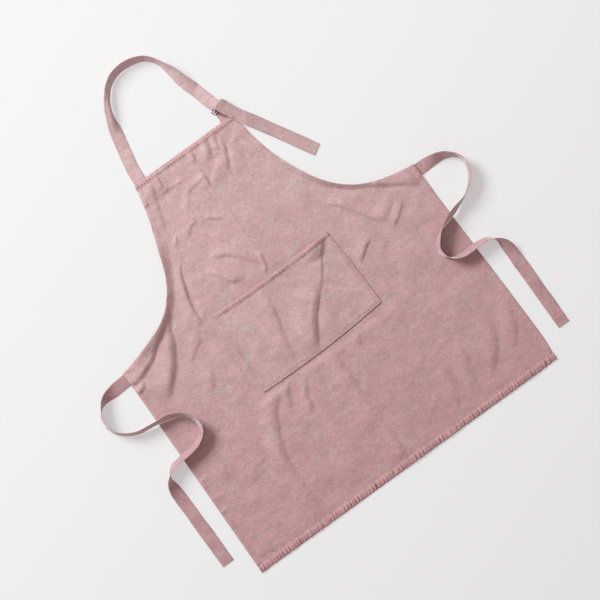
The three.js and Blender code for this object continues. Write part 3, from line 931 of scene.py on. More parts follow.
@dataclass
class Sewing:
    """The thread, and the trees that lay stitches and draw seams up."""

    thread: ThreadFinish = field(default_factory=ThreadFinish)
    length: float = 2.7
    thickness: float = 0.7
    pitch: float = 3.6

    def __post_init__(self) -> None:
        """Builds the two trees once."""
        self.stitch_shape = StitchShape()
        self.pucker_shape = PuckerShape()

    def stitches(self, name: str, lines: list[StitchLine], slot: Slot) -> Piece:
        """Sews lines of stitches as one piece.

        Args:
            name: The piece's name.
            lines: The lines to sew along.
            slot: Not used.

        Returns:
            The piece, riding on the apron.
        """
        points = np.vstack([line.points for line in lines])
        facing = np.vstack([line.facing for line in lines])
        edges = []
        start = 0
        for line in lines:
            edges += [(k, k + 1) for k in range(start, start + len(line.points) - 1)]
            start += len(line.points)
        mesh = bpy.data.meshes.new(name)
        mesh.from_pydata(to_frame(points).tolist(), edges, [])
        mark = mesh.attributes.new("facing", "FLOAT_VECTOR", "POINT")
        mark.data.foreach_set("vector", facing.astype(np.float32).ravel())
        piece = self.stitch_shape.make(
            name, mesh, self.thread.material(), Pitch=self.pitch * MM, Length=self.length * MM,
            Thickness=self.thickness * MM)
        return join_apron(piece)

    def draw_up(self, band: bpy.types.Mesh, finish: LinenFinish, puckers: Puckers) -> Piece:
        """Draws a band of cloth up along its seam, and makes it ride on the apron."""
        piece = self.pucker_shape.make(
            band.name, band, finish.material(), Pitch=puckers.pitch * MM, Rise=puckers.rise * MM,
            Scallop=puckers.scallop * MM, Slant=puckers.slant, Wander=puckers.wander,
            Pit=puckers.pit * MM, Tint=puckers.tint, Seed=puckers.seed)
        return join_apron(piece)


def join_apron(piece: Piece) -> Piece:
    """Makes a piece ride on the apron.

    Args:
        piece: The piece.

    Returns:
        The same piece.
    """
    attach(piece, "root")
    LOG.info("%s: %d faces", piece.name, len(piece.data.polygons))
    return piece


@dataclass
class HemBand:
    """A turned hem between its stitch line and the cloth's edge."""

    name: str
    inner: Array
    outer: Array
    puckers: Puckers
    cell: float = 1.5
    crown: float = 0.4
    drop: float = 0.75
    tuck: float = 1.2
    groove: float = 0.06
    crown_at: float = 0.4
    groove_width: float = 0.07
    drop_from: float = 0.85
    back_lift: float = 0.35
    back_from: float = 0.84
    tuck_over: float = 0.55
    tuck_under: float = 0.3
    loose_share: float = 0.75
    loose_at: float = 0.55
    seam_loose: Span = (0.02, 0.12)
    outward_band: Span = (0.1, 0.9)
    shares: tuple[float, ...] = (
        0.0, 0.05, 0.12, 0.20, 0.28, 0.36, 0.44, 0.52, 0.62, 0.75, 0.86, 0.94, 1.0)

    def build(self, ground: "PanelRelief | PocketForm", finish: LinenFinish, sewing: Sewing) -> Piece:
        """Makes the band over the ground that it lies on.

        Args:
            ground: What gives the height of the cloth's underside.
            finish: The band's linen.
            sewing: The seam that draws it up.

        Returns:
            The piece, riding on the apron.
        """
        drawn = self.puckers
        count = int(max(line_length(self.inner), line_length(self.outer)) / self.cell) + 1
        inner, outer = spread_evenly(self.inner, count, 2), spread_evenly(self.outer, count, 2)
        width = np.linalg.norm(outer - inner, axis=1, keepdims=True)
        outward = (outer - inner) / width
        tucked = inner - outward * self.tuck
        lines = [tucked] + [inner + (outer - inner) * share for share in self.shares]
        flat = np.stack(lines, axis=0)
        x, y = flat[..., 0], flat[..., 1]
        under = ground.under(x, y)
        share = np.array([0.0, *self.shares])[:, None]
        crowned = self.crown * ease(share, 0.0, self.crown_at)
        seam = self.groove * bell(share, self.groove_width)
        edge = self.drop * ease(share, self.drop_from, 1.0)
        over = under + CLOTH + crowned - seam - edge
        low = under + self.back_lift * ease(share, self.back_from, 1.0)
        over[0] = under[0] + self.tuck_over * CLOTH
        low[0] = under[0] + self.tuck_under * CLOTH
        spread = np.ones((1, count))
        eased = ease(share, 0.0, self.loose_at) * self.loose_share
        loose = drawn.draw * (eased + (1 - self.loose_share) * ease(share, *self.seam_loose)) * spread
        pit = bell(share - drawn.pit_at, drawn.pit_reach) * spread
        pit[0] = 0.0
        sideways = np.zeros((*x.shape, 3))
        sideways[..., :2] = outward[None] * ease(share, *self.outward_band)[..., None]
        run = np.linspace(0, line_length(outer), count)[None, :] + 0 * share
        marks = {"run": run * MM, "across": share * spread, "loose": loose,
                 "pit": pit * min(1.0, drawn.pit), "raise": np.tile(UPWARD, (*x.shape, 1)),
                 "outward": sideways}
        front, back = np.dstack([x, y, over]), np.dstack([x, y, low])
        if np.cross(inner[-1] - inner[0], outward[0]) < 0:
            front, back, flat = front[::-1], back[::-1], flat[::-1]
            marks = {name: values[::-1] for name, values in marks.items()}
        mesh = wall_mesh(self.name, front, back, flat, 1, marks)
        return sewing.draw_up(mesh, finish, drawn)

    def stitch_line(self, ground: "PanelRelief | PocketForm", inset: float) -> StitchLine:
        """A line of stitches along the band.

        Args:
            ground: What gives the height of the cloth's underside.
            inset: How far the line is from the inner edge, in millimetres.

        Returns:
            The line.
        """
        count = int(line_length(self.inner) / 2) + 2
        inner, outer = spread_evenly(self.inner, count, 2), spread_evenly(self.outer, count, 2)
        line = inner + unit(outer - inner) * inset
        height = ground.under(line[:, 0], line[:, 1]) + CLOTH - self.groove * 0.5
        return StitchLine.level(np.column_stack([line, height]))


@dataclass(frozen=True)
class Patch:
    """A rectangle of the panel, by its low and high corners."""

    low_x: float
    low_y: float
    high_x: float
    high_y: float

    def distance(self, x: Array, y: Array) -> Array:
        """How far points lie outside the patch."""
        spans = ((self.low_x, x, self.high_x), (self.low_y, y, self.high_y))
        return np.hypot(*(np.maximum(np.maximum(low - at, at - high), 0) for low, at, high in spans))


@dataclass(frozen=True)
class Ripple:
    """The short ripples that a drawn-up hem sends into the cloth beyond its stitch line.

    The way is 1 where that cloth lies above the line and -1 where it lies below.
    """

    line: float
    way: int
    rise: float
    run: float
    slant: float
    fade: float
    wander: tuple[Spot, ...] = ((2.0, 23.0, 0.0), (1.4, 9.5, 1.0))

    def height(self, x: Array, y: Array) -> Array:
        """How much the ripples raise each point.

        Args:
            x, y: The points' places on the apron.

        Returns:
            The heights.
        """
        away = np.clip(self.way * (y - self.line), 0, None)
        wander = sum(size * np.sin(x / run + phase) for size, run, phase in self.wander)
        wave = np.sin((x + self.slant * away) / self.run + wander)
        return self.rise * (wave * np.exp(-away / self.fade))


@dataclass
class PanelRelief:
    """How the laid panel rises from the table: its folds, its crumples and its sewn corners."""

    rest: float = 0.5
    seam_lift: float = 1.8
    seam_fade: float = 28.0
    calm_margin: float = 1.5
    calm_fade: float = 14.0
    softness: float = 0.35
    seams: tuple[Patch, ...] = (
        Patch(-132, 246, -72, 278), Patch(72, 246, 132, 278),
        Patch(-351, -52, -315, 8), Patch(315, -52, 351, 8))
    calm: tuple[Patch, ...] = (
        Patch(-146, -198, 139, -16), Patch(-350, -214, -276, -114), Patch(278, -214, 350, -116))
    folds: tuple[Fold | Crease, ...] = (
        Fold(((-325, 5), (-300, 8), (-268, 19), (-239, 31), (-213, 47)), 9.0, 21, 40, ramp=True),
        Fold(((-250, 25), (-239, 30), (-213, 46), (-191.5, 67), (-173, 95), (-157, 129), (-143, 165)),
             10.0, 19, 40, ramp=True),
        Fold(((150, 140), (173, 94), (191, 66), (213, 44), (239, 26), (266, 13)),
             11.0, 13, 40, ramp=True),
        Crease(((-345, -38), (-322, -36), (-300, -28), (-280, -20), (-262, -6), (-240, 8), (-222, 22)),
               6.5, 10, 30),
        Crease(((-219, 6), (-225, -12), (-232, -26), (-243, -42), (-252, -56), (-268, -72), (-280, -84),
                (-290, -95)), 8.0, 14, 26),
        Crease(((-199, 43), (-207, 29), (-213, 17), (-219, 6)), 3.6, 8, 14),
        Crease(((-184, -47), (-196, -50), (-206, -57), (-222, -70)), 2.4, 8, 16),
        Crease(((-197, -100), (-206, -116), (-222, -139)), 1.8, 9, 18),
        Crease(((-129, 97), (-137, 85), (-143, 72), (-147, 60), (-152, 45), (-157, 28), (-159.5, 12),
                (-160, -4)), 4.2, 6.5, 16),
        Crease(((-160, -2), (-163, -18)), 1.2, 6, 10),
        Crease(((-146, -78), (-152, -115), (-158, -158)), 1.2, 5, 14),
        Crease(((-342, -57), (-326, -53), (-319, -45), (-321, -35)), 4.0, 6, 10),
        Crease(((252, 3), (280, -15), (300, -27), (322, -44)), 6.0, 9, 24),
        Crease(((166, 24), (182, 6), (195, -14), (206, -30), (216, -45), (230, -62)), 3.8, 5, 16),
        Crease(((224, -66), (236, -88), (252, -112)), 1.4, 12, 24),
        Crease(((232, -66), (250, -57), (272, -40)), 3.2, 11, 14),
        Crease(((244, -82), (260, -74), (272, -65), (284, -55)), 2.2, 5, 12),
        Crease(((152, -103), (160, -96), (169, -90), (178, -83), (192, -76)), 3.0, 5, 14),
        Crease(((194, -115), (216, -99)), 1.2, 5, 10),
        Crease(((-81, 258), (-89, 236), (-95, 220), (-101, 202), (-106, 184), (-114, 160)), 2.4, 9, 26),
        Crease(((-83, 258), (-87, 248), (-92, 234)), 0.8, 6, 10),
        Crease(((-67, 266), (-68, 252), (-70, 236)), 2.6, 5, 9),
        Crease(((-126, 225), (-112, 228)), 1.6, 4, 5),
        Crease(((-82, 227), (-66, 227.5)), 1.8, 4, 5),
        Crease(((-60, 227), (-38, 225)), 1.3, 4, 5),
        Crease(((14, 227), (58, 228.5)), 0.9, 4, 5),
        Crease(((82, 228), (102, 229)), 1.2, 4, 5),
        Crease(((13, 268), (14, 256), (12, 242)), 3.2, 7, 6),
        Crease(((8, 217), (9, 204), (6, 188)), 2.6, 6, 12),
        Crease(((54, 268), (48, 250), (41, 232)), 4.0, 10, 8),
        Crease(((68, 262), (64, 250), (60, 236)), 3.0, 6, 9),
        Crease(((77, 245), (72, 230), (66, 216), (60, 204), (54, 193)), 3.0, 7, 14),
        Fold(((83, 240), (74, 215), (66, 195), (54, 165)), 2.2, 6, 20),
        Fold(((5, 188), (22, 199), (36, 209), (48, 217)), 2.2, 16, 5),
        Crease(((4, 206), (-18, 203), (-30, 202), (-41, 198)), 2.0, 5, 9),
        Crease(((-38, 196), (-50, 181), (-68, 163)), 0.9, 6, 10),
        Crease(((-58, 145), (-72, 143), (-86, 130)), 2.0, 7, 12),
        Crease(((-42, 140.5), (-30, 132), (-20, 123)), 2.8, 5, 4),
        Crease(((-116, 132), (-110, 137), (-104, 147)), 2.0, 4.5, 5),
        Fold(((-129, 140), (-119, 130), (-114, 117), (-109, 106)), -1.6, 2.6, 2.6),
        Crease(((-72, 69), (-54, 61), (-42, 51), (-32, 39), (-22, 26), (-13, 14)), 4.0, 8, 16),
        Crease(((-100, 50), (-87, 35), (-78, 21), (-69, 10), (-56, 6)), 3.6, 7, 14),
        Crease(((8, 30), (5, 14), (2, 2), (-3, -8), (-8, -14)), 2.2, 4.5, 5),
        Fold(((2, 262), (3, 100), (1, -10)), 0.7, 3.5, 3.5),
        Crease(((11, -206), (12, -260), (11, -302)), 3.0, 11, 20),
        Crease(((12, -390), (12, -415), (11, -448)), 3.4, 11, 20),
        Crease(((-116, -212), (-136, -230), (-148, -246), (-157, -262), (-166, -280), (-175, -303),
                (-180, -330)), 5.0, 16, 20),
        Crease(((-177, -310), (-181, -345), (-182, -380), (-184, -436)), 3.0, 15, 24),
        Crease(((-62, -222), (-74, -240), (-80, -258), (-84, -276)), 2.6, 9, 10),
        Crease(((-84, -195), (-98, -212), (-116, -250)), 3.2, 8, 16),
        Crease(((73, -202), (63, -228)), 1.8, 7, 12),
        Crease(((35, -201), (27, -222)), 1.8, 9, 12),
        Crease(((174, -352), (164, -395), (145, -438)), 2.2, 12, 18),
        Crease(((217, -338), (209, -385), (196, -428)), 2.0, 12, 18),
        Crease(((289, -338), (277, -376), (262, -398), (243, -420)), 3.0, 14, 20),
        Crease(((332, -338), (321, -376), (302, -404)), 2.0, 10, 18),
        Crease(((-220, -302), (-240, -301)), 1.6, 7, 10),
        Crease(((-341, -436), (-332, -450)), 1.8, 4, 6),
        Crease(((-322, -438), (-312, -451)), 1.6, 4, 6),
        Crease(((-301, -440), (-291, -452)), 1.6, 4, 6),
        Fold(((-349, -262), (-324, -258)), 1.6, 4, 4),
        Fold(((-349, -300), (-320, -307)), 1.4, 5, 5),
        Fold(((-349, -332), (-326, -330)), 1.4, 4, 4),
    )
    crumples: tuple[Crumple, ...] = (
        Crumple(11, 120.0, 0.65), Crumple(12, 52.0, 0.34), Crumple(13, 30.0, 0.2, True),
        Crumple(14, 16.0, 0.06))
    ripples: tuple[Ripple, ...] = (
        Ripple(-453.0, 1, 0.42, 2.3, 0.25, 9.0), Ripple(262.0, -1, 0.34, 2.2, -0.2, 8.0))

    def under(self, x: Array, y: Array) -> Array:
        """The height of the panel's underside.

        Args:
            x, y: The points' places on the apron.

        Returns:
            The heights above the table.
        """
        calm = np.ones(np.shape(x))
        for place in self.calm:
            calm *= ease(place.distance(x, y), self.calm_margin, self.calm_margin + self.calm_fade)
        lift = np.zeros(np.shape(x))
        for seam in self.seams:
            lift = np.maximum(lift, self.seam_lift * (1 - ease(seam.distance(x, y), 0, self.seam_fade)))
        raised = self.rest + sum(ripple.height(x, y) for ripple in self.ripples)
        for form in (*self.folds, *self.crumples):
            raised = raised + form.height(x, y)
        settled = self.softness * np.logaddexp(0.0, raised / self.softness)
        return lift + calm * settled


@dataclass(frozen=True)
class Drag:
    """A place where the laid cloth is drawn a few millimetres aside."""

    x: float
    y: float
    shift: Span
    reach: float

    def moved(self, points: Array) -> Array:
        """How far points go, by their distance from the place."""
        off = points - np.array([self.x, self.y])
        return np.exp(-((off**2).sum(axis=-1, keepdims=True)) / self.reach**2) * np.array(self.shift)


@dataclass
class BodyPanel:
    """Bib and skirt in one cut, with its turned hems and their stitches."""

    finish: LinenFinish
    sewing: Sewing
    hem_width: float = 702.0
    waist_width: float = 685.5
    bib_width: float = 228.0
    skirt_length: float = 471.0
    waist_drop: float = 5.5
    bottom_hem: float = 16.5
    bib_hem: float = 12.0
    side_hem: float = 10.0
    armhole_handles: Route = ((199.0, 9.5), (156.0, 70.0))
    columns: int = 240
    side_rows: int = 168
    armhole_rows: int = 162
    back_step: int = 3
    curve_points: int = 400
    level_points: int = 161
    side_points: int = 120
    bib_seam: float = 6.5
    tie_box: Route = ((328.0, -7.0), (328.0, -34.0), (339.0, -34.0), (339.0, -8.0), (328.0, -7.0))
    tie_points: int = 46
    tie_stitch_rise: float = 0.72
    drags: tuple[Drag, ...] = (
        Drag(-275, 18, (-1.6, 5.2), 52), Drag(-150, 150, (-3.2, 1.0), 42),
        Drag(138, 180, (-2.3, -0.4), 55), Drag(121, 248, (1.8, 0.3), 18),
        Drag(352, -464, (-4.2, 1.0), 30))
    relief: PanelRelief = field(default_factory=PanelRelief)

    def laid(self, points: Array) -> Array:
        """Points of the even cut where they lie on the table."""
        return points + sum(drag.moved(points) for drag in self.drags)

    def armhole(self) -> Array:
        """Draws the right armhole's edge.

        Returns:
            Its points from the waist corner up to the bib hem.
        """
        handles = np.array(self.armhole_handles)
        waist = np.array([self.waist_width / 2, -self.waist_drop])
        corner = np.array([self.bib_width / 2, BIB_HEIGHT])
        t = np.linspace(0, 1, self.curve_points)[:, None]
        curve = ((1 - t) ** 3 * waist + 3 * (1 - t) ** 2 * t * handles[0]
                 + 3 * (1 - t) * t**2 * handles[1] + t**3 * corner)
        top = BIB_HEIGHT - self.bib_hem
        end = [np.interp(top, curve[:, 1], curve[:, 0]), top]
        return np.vstack([curve[curve[:, 1] < top], end])

    def right_edges(self) -> tuple[Array, Array, Array, Array]:
        """The right-hand edges of the cut and the stitch lines inside them.

        Returns:
            The side's edge and its stitch line, then the armhole's edge and its stitch line.
        """
        hem_y = self.bottom_hem - self.skirt_length
        side = np.array([[self.hem_width / 2, hem_y], [self.waist_width / 2, -self.waist_drop]])
        armhole = self.armhole()
        travel = unit(np.gradient(armhole, axis=0))
        inside = armhole + self.side_hem * np.column_stack([-travel[:, 1], travel[:, 0]])
        limit = np.interp(inside[:, 1], side[:, 1], side[:, 0]) - self.side_hem
        kept = inside[inside[:, 0] < limit]
        corner_x = np.interp(kept[0, 1], side[:, 1], side[:, 0]) - self.side_hem
        corner = np.array([corner_x, kept[0, 1] - 0.1 * (corner_x - kept[0, 0])])
        inside_side = np.array([[self.hem_width / 2 - self.side_hem, hem_y], corner])
        kept = np.vstack([corner, kept])
        kept[-1] = [armhole[-1, 0] - self.side_hem, armhole[-1, 1]]
        return side, inside_side, armhole, kept

    def cloth(self) -> Piece:
        """Makes the panel inside its hems.

        Returns:
            The piece, riding on the apron in place of its solid.
        """
        _, side, _, armhole = self.right_edges()
        edge = np.vstack([spread_evenly(side, self.side_rows + 1, 2)[:-1],
                          spread_evenly(armhole, self.armhole_rows + 1, 2)])
        mid_y = np.linspace(edge[0, 1], edge[-1, 1], len(edge))[:, None]
        u = np.linspace(-1, 1, self.columns + 1)[None, :]
        x = edge[:, :1] * u
        y = edge[:, 1:] + (mid_y - edge[:, 1:]) * (1 - np.abs(u) ** 3)
        flat = np.dstack([x, y])
        place = self.laid(flat)
        under = self.relief.under(place[..., 0], place[..., 1])[..., None]
        front, back = np.dstack([place, under + CLOTH]), np.dstack([place, under])
        mesh = wall_mesh("panel_cloth", front, back, flat, self.back_step, crisp=True)
        mesh.materials.append(self.finish.material())
        piece = join_apron(place_piece("panel_cloth", mesh))
        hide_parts("body_panel")
        return piece

    def hems(self) -> list[HemBand]:
        """Lays out the hems.

        Returns:
            The six hem bands, before they are built.
        """
        side, inside_side, armhole, inside_armhole = self.right_edges()
        half = self.hem_width / 2
        low, hem_y = -self.skirt_length, self.bottom_hem - self.skirt_length
        bib_half, bib_y = self.bib_width / 2, BIB_HEIGHT - self.bib_hem

        def level(reach: float, y: float) -> Array:
            """A level line across the apron, from side to side."""
            return np.column_stack([np.linspace(-reach, reach, self.level_points),
                                    np.full(self.level_points, y)])

        side, inside_side = [spread_evenly(edge, self.side_points, 2) for edge in (side, inside_side)]
        bands = [
            HemBand("bottom_hem", self.laid(level(half, hem_y)), self.laid(level(half, low)),
                    Puckers(6.6, 0.42, 0.7, 0.2, 3.0, draw=0.7, pit=0.88, pit_at=0.62, pit_reach=0.38,
                            tint=0.45, wander=2.4), 1.0, crown=0.9, drop=1.5),
            HemBand("bib_hem", self.laid(level(armhole[-1, 0], bib_y)),
                    self.laid(level(bib_half, BIB_HEIGHT)),
                    Puckers(6.2, 0.2, 0.25, 0.3, 9.0, draw=0.5, pit=0.9, pit_at=0.38, pit_reach=0.26,
                            tint=0.6, wander=0.9), 0.9)]
        for side_of in Side:
            flip = np.array([side_of.value, 1.0])
            for word, inner, outer, pitch, seed in (("side", inside_side, side, 9.0, 14.0),
                                                    ("armhole", inside_armhole, armhole, 10.0, 24.0)):
                name = f"{side_of.name.lower()}_{word}_hem"
                drawn = Puckers(pitch, 0.12, 0.4, 0.5, seed + side_of.value, 0.3)
                bands.append(HemBand(name, self.laid(inner * flip), self.laid(outer * flip), drawn, 1.8))
        return bands

    def tie_seams(self) -> list[StitchLine]:
        """Lays out the boxes of stitches that hold the ties at the waist corners.

        Returns:
            One line of stitches for each side.
        """
        lines = []
        for side_of in Side:
            path = spread_evenly(np.array(self.tie_box) * [side_of.value, 1.0], self.tie_points, 2)
            height = self.relief.under(path[:, 0], path[:, 1]) + CLOTH + self.tie_stitch_rise
            lines.append(StitchLine.level(np.column_stack([path, height])))
        return lines

    def build(self) -> Piece:
        """Returns:
            The panel's cloth.
        """
        cloth = self.cloth()
        bands = self.hems()
        pieces = [band.build(self.relief, self.finish, self.sewing) for band in bands]
        lines = [band.stitch_line(self.relief, SEAM_INSET) for band in bands]
        lines.append(bands[1].stitch_line(self.relief, self.bib_seam))
        pieces.append(self.sewing.stitches("panel_stitches", lines + self.tie_seams(), self.finish.slot))
        return cloth


@dataclass
class PocketForm:
    """The laid pocket's shape: where it stands off the panel and how it folds."""

    top_left: Span = (-138.0, -14.0)
    top_right: Span = (131.0, -13.0)
    bottom_left: Span = (-145.5, -192.5)
    bottom_right: Span = (137.5, -184.0)
    sag: float = 5.0
    mouth_sag: float = 4.0
    bow: float = 2.5
    gape: float = 7.0
    gape_curve: float = 1.3
    crown: float = 1.2
    sewn_side: Span = (0.02, 0.25)
    sewn_foot: float = 0.12
    half_width: float = 138.0
    step_height: float = 176.0
    steps: int = 8
    base: float = CLOTH + SEAM_GAP
    folds: tuple[Fold | Crease, ...] = (
        Crease(((131, -11), (116, -27), (100, -44), (80, -74), (62, -95)), 1.8, 4, 24),
        Crease(((60, -97), (40, -118), (22, -138), (8, -160), (-8, -186)), 6.2, 13, 40),
        Fold(((62, -118), (38, -145), (20, -175)), 2.0, 14, 20),
        Crease(((126, -22), (108, -41), (90, -47), (66, -43)), 7.0, 26, 60),
        Crease(((-31, -42), (-33, -72), (-39, -102), (-47, -126), (-50, -142), (-52, -168)), 3.0, 11, 24),
        Fold(((-100, -40), (-96, -80), (-104, -130)), 1.2, 14, 12),
        Fold(((70, -120), (84, -150), (90, -180)), 1.4, 12, 10),
    )
    crumples: tuple[Crumple, ...] = (
        Crumple(31, 70.0, 0.35), Crumple(32, 30.0, 0.16, True), Crumple(33, 14.0, 0.05))

    def place(self, u: Array, v: Array) -> tuple[Array, Array]:
        """The flat place of a point of the pocket.

        Args:
            u: Its place across, from -1 to 1.
            v: Its place up, from 0 to 1.

        Returns:
            x and y.
        """
        left, right = [
            [low[k] + (high[k] - low[k]) * v for k in (0, 1)]
            for low, high in ((self.bottom_left, self.top_left), (self.bottom_right, self.top_right))]
        right[0] = right[0] + self.bow * 4 * v * (1 - v)
        share = (u + 1) / 2
        x = left[0] + (right[0] - left[0]) * share
        sag = self.sag * (1 - v) + self.mouth_sag * v
        y = left[1] + (right[1] - left[1]) * share - sag * (1 - u * u)
        return x, y

    def shares(self, x: Array, y: Array) -> tuple[Array, Array]:
        """The places across and up of points on the pocket.

        Args:
            x, y: The points' places on the apron.

        Returns:
            u from -1 to 1 and v from 0 to 1.
        """
        u, v = np.zeros(np.shape(x)), np.full(np.shape(x), 0.5)
        for _ in range(self.steps):
            at_x, at_y = self.place(u, v)
            u = u + (x - at_x) / self.half_width
            v = v + (y - at_y) / self.step_height
        return u, v

    def under(self, x: Array, y: Array) -> Array:
        """The height of the pocket's underside.

        Args:
            x, y: The points' places on the apron.

        Returns:
            The heights above the table.
        """
        u, v = self.shares(x, y)
        inside = np.clip(1 - u * u, 0, 1) ** self.crown
        loose = ease(inside, *self.sewn_side) * ease(v, 0.0, self.sewn_foot)
        raised = np.zeros(np.shape(x))
        for form in (*self.folds, *self.crumples):
            raised = raised + form.height(x, y)
        gaping = self.gape * inside * np.clip(v, 0, 1) ** self.gape_curve
        return self.base + np.maximum(gaping + raised * loose, 0.0)


@dataclass
class Pocket:
    """The patch pocket, sewn down on three sides, with its drawn-up mouth hem."""

    finish: LinenFinish
    sewing: Sewing
    hem: float = 11.5
    height: float = 178.0
    columns: int = 142
    rows: int = 85
    rim_insets: tuple[float, ...] = (0.0, 0.45, 0.9, 1.6, 2.2, 2.8, 3.6)
    rim_width: float = 4.6
    margin: float = 10.0
    margin_rise: float = 0.45
    ripple_rise: float = 0.42
    edge_drop: float = 0.7
    edge_bead: float = 0.75
    edge_width: float = 0.9
    bead_width: float = 0.8
    ripple_at: float = 5.0
    ripple_reach: float = 5.5
    stitch_shade: float = 0.6
    stitch_insets: Span = (2.8, 7.4)
    stitch_dip: float = 0.4
    dip_width: float = 1.3
    shade_width: float = 1.7
    stitch_lift: float = 0.1
    seam_top: float = 0.99
    seam_rows: int = 90
    seam_columns: int = 140
    mouth_points: int = 60
    back_step: int = 2
    ripple: tuple[float, ...] = (1.5, 1.5, 11.0, 1.2, 9.0)
    beat: tuple[float, ...] = (0.8, 2.0, 7.0, 2.0, 8.0)
    form: PocketForm = field(default_factory=PocketForm)

    def slanting(self, x: Array, y: Array, wave: tuple[float, ...]) -> Array:
        """A slanting wave over the cloth, from -1 to 1, whose phase wanders across and up."""
        run, over, over_run, rise, rise_run = wave
        return np.sin((x + y) / run + over * np.sin(x / over_run) + rise * np.sin(y / rise_run))

    def margin_height(self, x: Array, y: Array) -> Array:
        """How much the turned margins thicken the pocket, with dips along their stitches.

        Args:
            x, y: The points' places on the apron.

        Returns:
            The extra heights.
        """
        inset = self.inset(x, y)
        raised = self.margin_rise * (1 - ease(inset, self.margin - 1.0, self.margin + 2.0))
        ripple = self.ripple_rise * self.slanting(x, y, self.ripple)
        raised = raised + ripple * bell(inset - self.ripple_at, self.ripple_reach)
        for line in self.stitch_insets:
            raised = raised - self.stitch_dip * bell(inset - line, self.dip_width)
        edge = 0.75 + 0.25 * np.sin((x - y) / 17.0 + 1.6 * np.sin(x / 29.0))
        raised = raised + self.edge_bead * edge * bell(inset - self.edge_width, self.bead_width)
        return raised - self.edge_drop * edge * (1 - ease(inset, 0.0, self.edge_width))

    def inset(self, x: Array, y: Array) -> Array:
        """How far points lie in from the pocket's sewn edges."""
        u, v = self.form.shares(x, y)
        return np.minimum((1 - np.abs(u)) * self.form.half_width, v * self.height)

    def margin_shade(self, x: Array, y: Array) -> Array:
        """Painted shade on the sewn margins, in the dips between their stitches.

        Args:
            x, y: The points' places on the apron.

        Returns:
            The shade, from -1 for a deep dip to 0.
        """
        inset = self.inset(x, y)
        beat = self.slanting(x, y, self.beat)
        uneven = 0.55 + 0.45 * np.sin(y / 19.0 + x / 23.0 + 0.9)
        near = np.zeros(np.shape(x))
        for line in self.stitch_insets:
            near = near + bell(inset - line, self.shade_width)
        return -self.stitch_shade * near * uneven * (0.45 + 0.55 * beat).clip(0.0, 1.0)

    def cloth(self) -> Piece:
        """Makes the pocket below its mouth hem.

        Returns:
            The piece, riding on the apron in place of its solid.
        """
        top = 1 - self.hem / self.height
        rim = np.array(self.rim_insets)
        half = self.form.half_width
        side = 1 - self.rim_width / half
        middle = np.linspace(-side, side, self.columns + 1)
        u = np.concatenate([rim / half - 1, middle, 1 - rim[::-1] / half])[None, :]
        upper = np.linspace(self.rim_width / self.height, top, self.rows + 1)
        v = np.concatenate([rim / self.height, upper])[:, None]
        x, y = self.form.place(u + 0 * v, v + 0 * u)
        under = self.form.under(x, y)
        over = under + CLOTH + self.margin_height(x, y)
        # The margins' painted shade is stored as the pucker mark.
        mesh = wall_mesh("pocket_cloth", np.dstack([x, y, over]), np.dstack([x, y, under]),
                         np.dstack([x, y]), self.back_step, {"pucker": self.margin_shade(x, y)},
                         crisp=True)
        mesh.materials.append(self.finish.material())
        piece = join_apron(place_piece("pocket_cloth", mesh))
        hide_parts("pocket")
        return piece

    def mouth(self) -> HemBand:
        """Lays out the mouth hem.

        Returns:
            The hem band, before it is built.
        """
        u = np.linspace(-1, 1, self.mouth_points)
        seam = 1 - self.hem / self.height
        inner, outer = [np.column_stack(self.form.place(u, np.full(u.shape, v))) for v in (seam, 1.0)]
        drawn = Puckers(6.6, 0.34, 0.35, 0.28, 5.0, draw=0.7, pit=1.05, pit_at=0.46, pit_reach=0.40,
                        tint=0.9, wander=1.5)
        return HemBand("pocket_hem", inner, outer, drawn, 0.9, drop=0.4)

    def seam_lines(self) -> list[StitchLine]:
        """Lays out the stitches down both sides and along the bottom.

        Returns:
            One line for each row of stitches.
        """
        lines = []
        for inset in self.stitch_insets:
            side = 1 - inset / self.form.half_width
            low = inset / self.height
            down = np.linspace(self.seam_top, low, self.seam_rows)
            over = np.linspace(-side, side, self.seam_columns)
            u = np.concatenate([np.full(down.shape, -side), over, np.full(down.shape, side)])
            v = np.concatenate([down, np.full(over.shape, low), down[::-1]])
            x, y = self.form.place(u, v)
            z = self.form.under(x, y) + CLOTH + self.margin_height(x, y) + self.stitch_lift
            lines.append(StitchLine.level(np.column_stack([x, y, z])))
        return lines

    def build(self) -> Piece:
        """Returns:
            The pocket's cloth.
        """
        cloth = self.cloth()
        mouth = self.mouth()
        hem = mouth.build(self.form, self.finish, self.sewing)
        lines = [*self.seam_lines(), mouth.stitch_line(self.form, SEAM_INSET)]
        sewn = self.sewing.stitches("pocket_stitches", lines, self.finish.slot)
        return cloth


@dataclass(frozen=True)
class Turn:
    """A point of a strap's route: its place, and how far the strap is rolled there, in degrees."""

    x: float
    y: float
    roll: float


def strap_route(*rows: Spot) -> tuple[Turn, ...]:
    """A route from its rows of place and roll."""
    return tuple(Turn(*row) for row in rows)


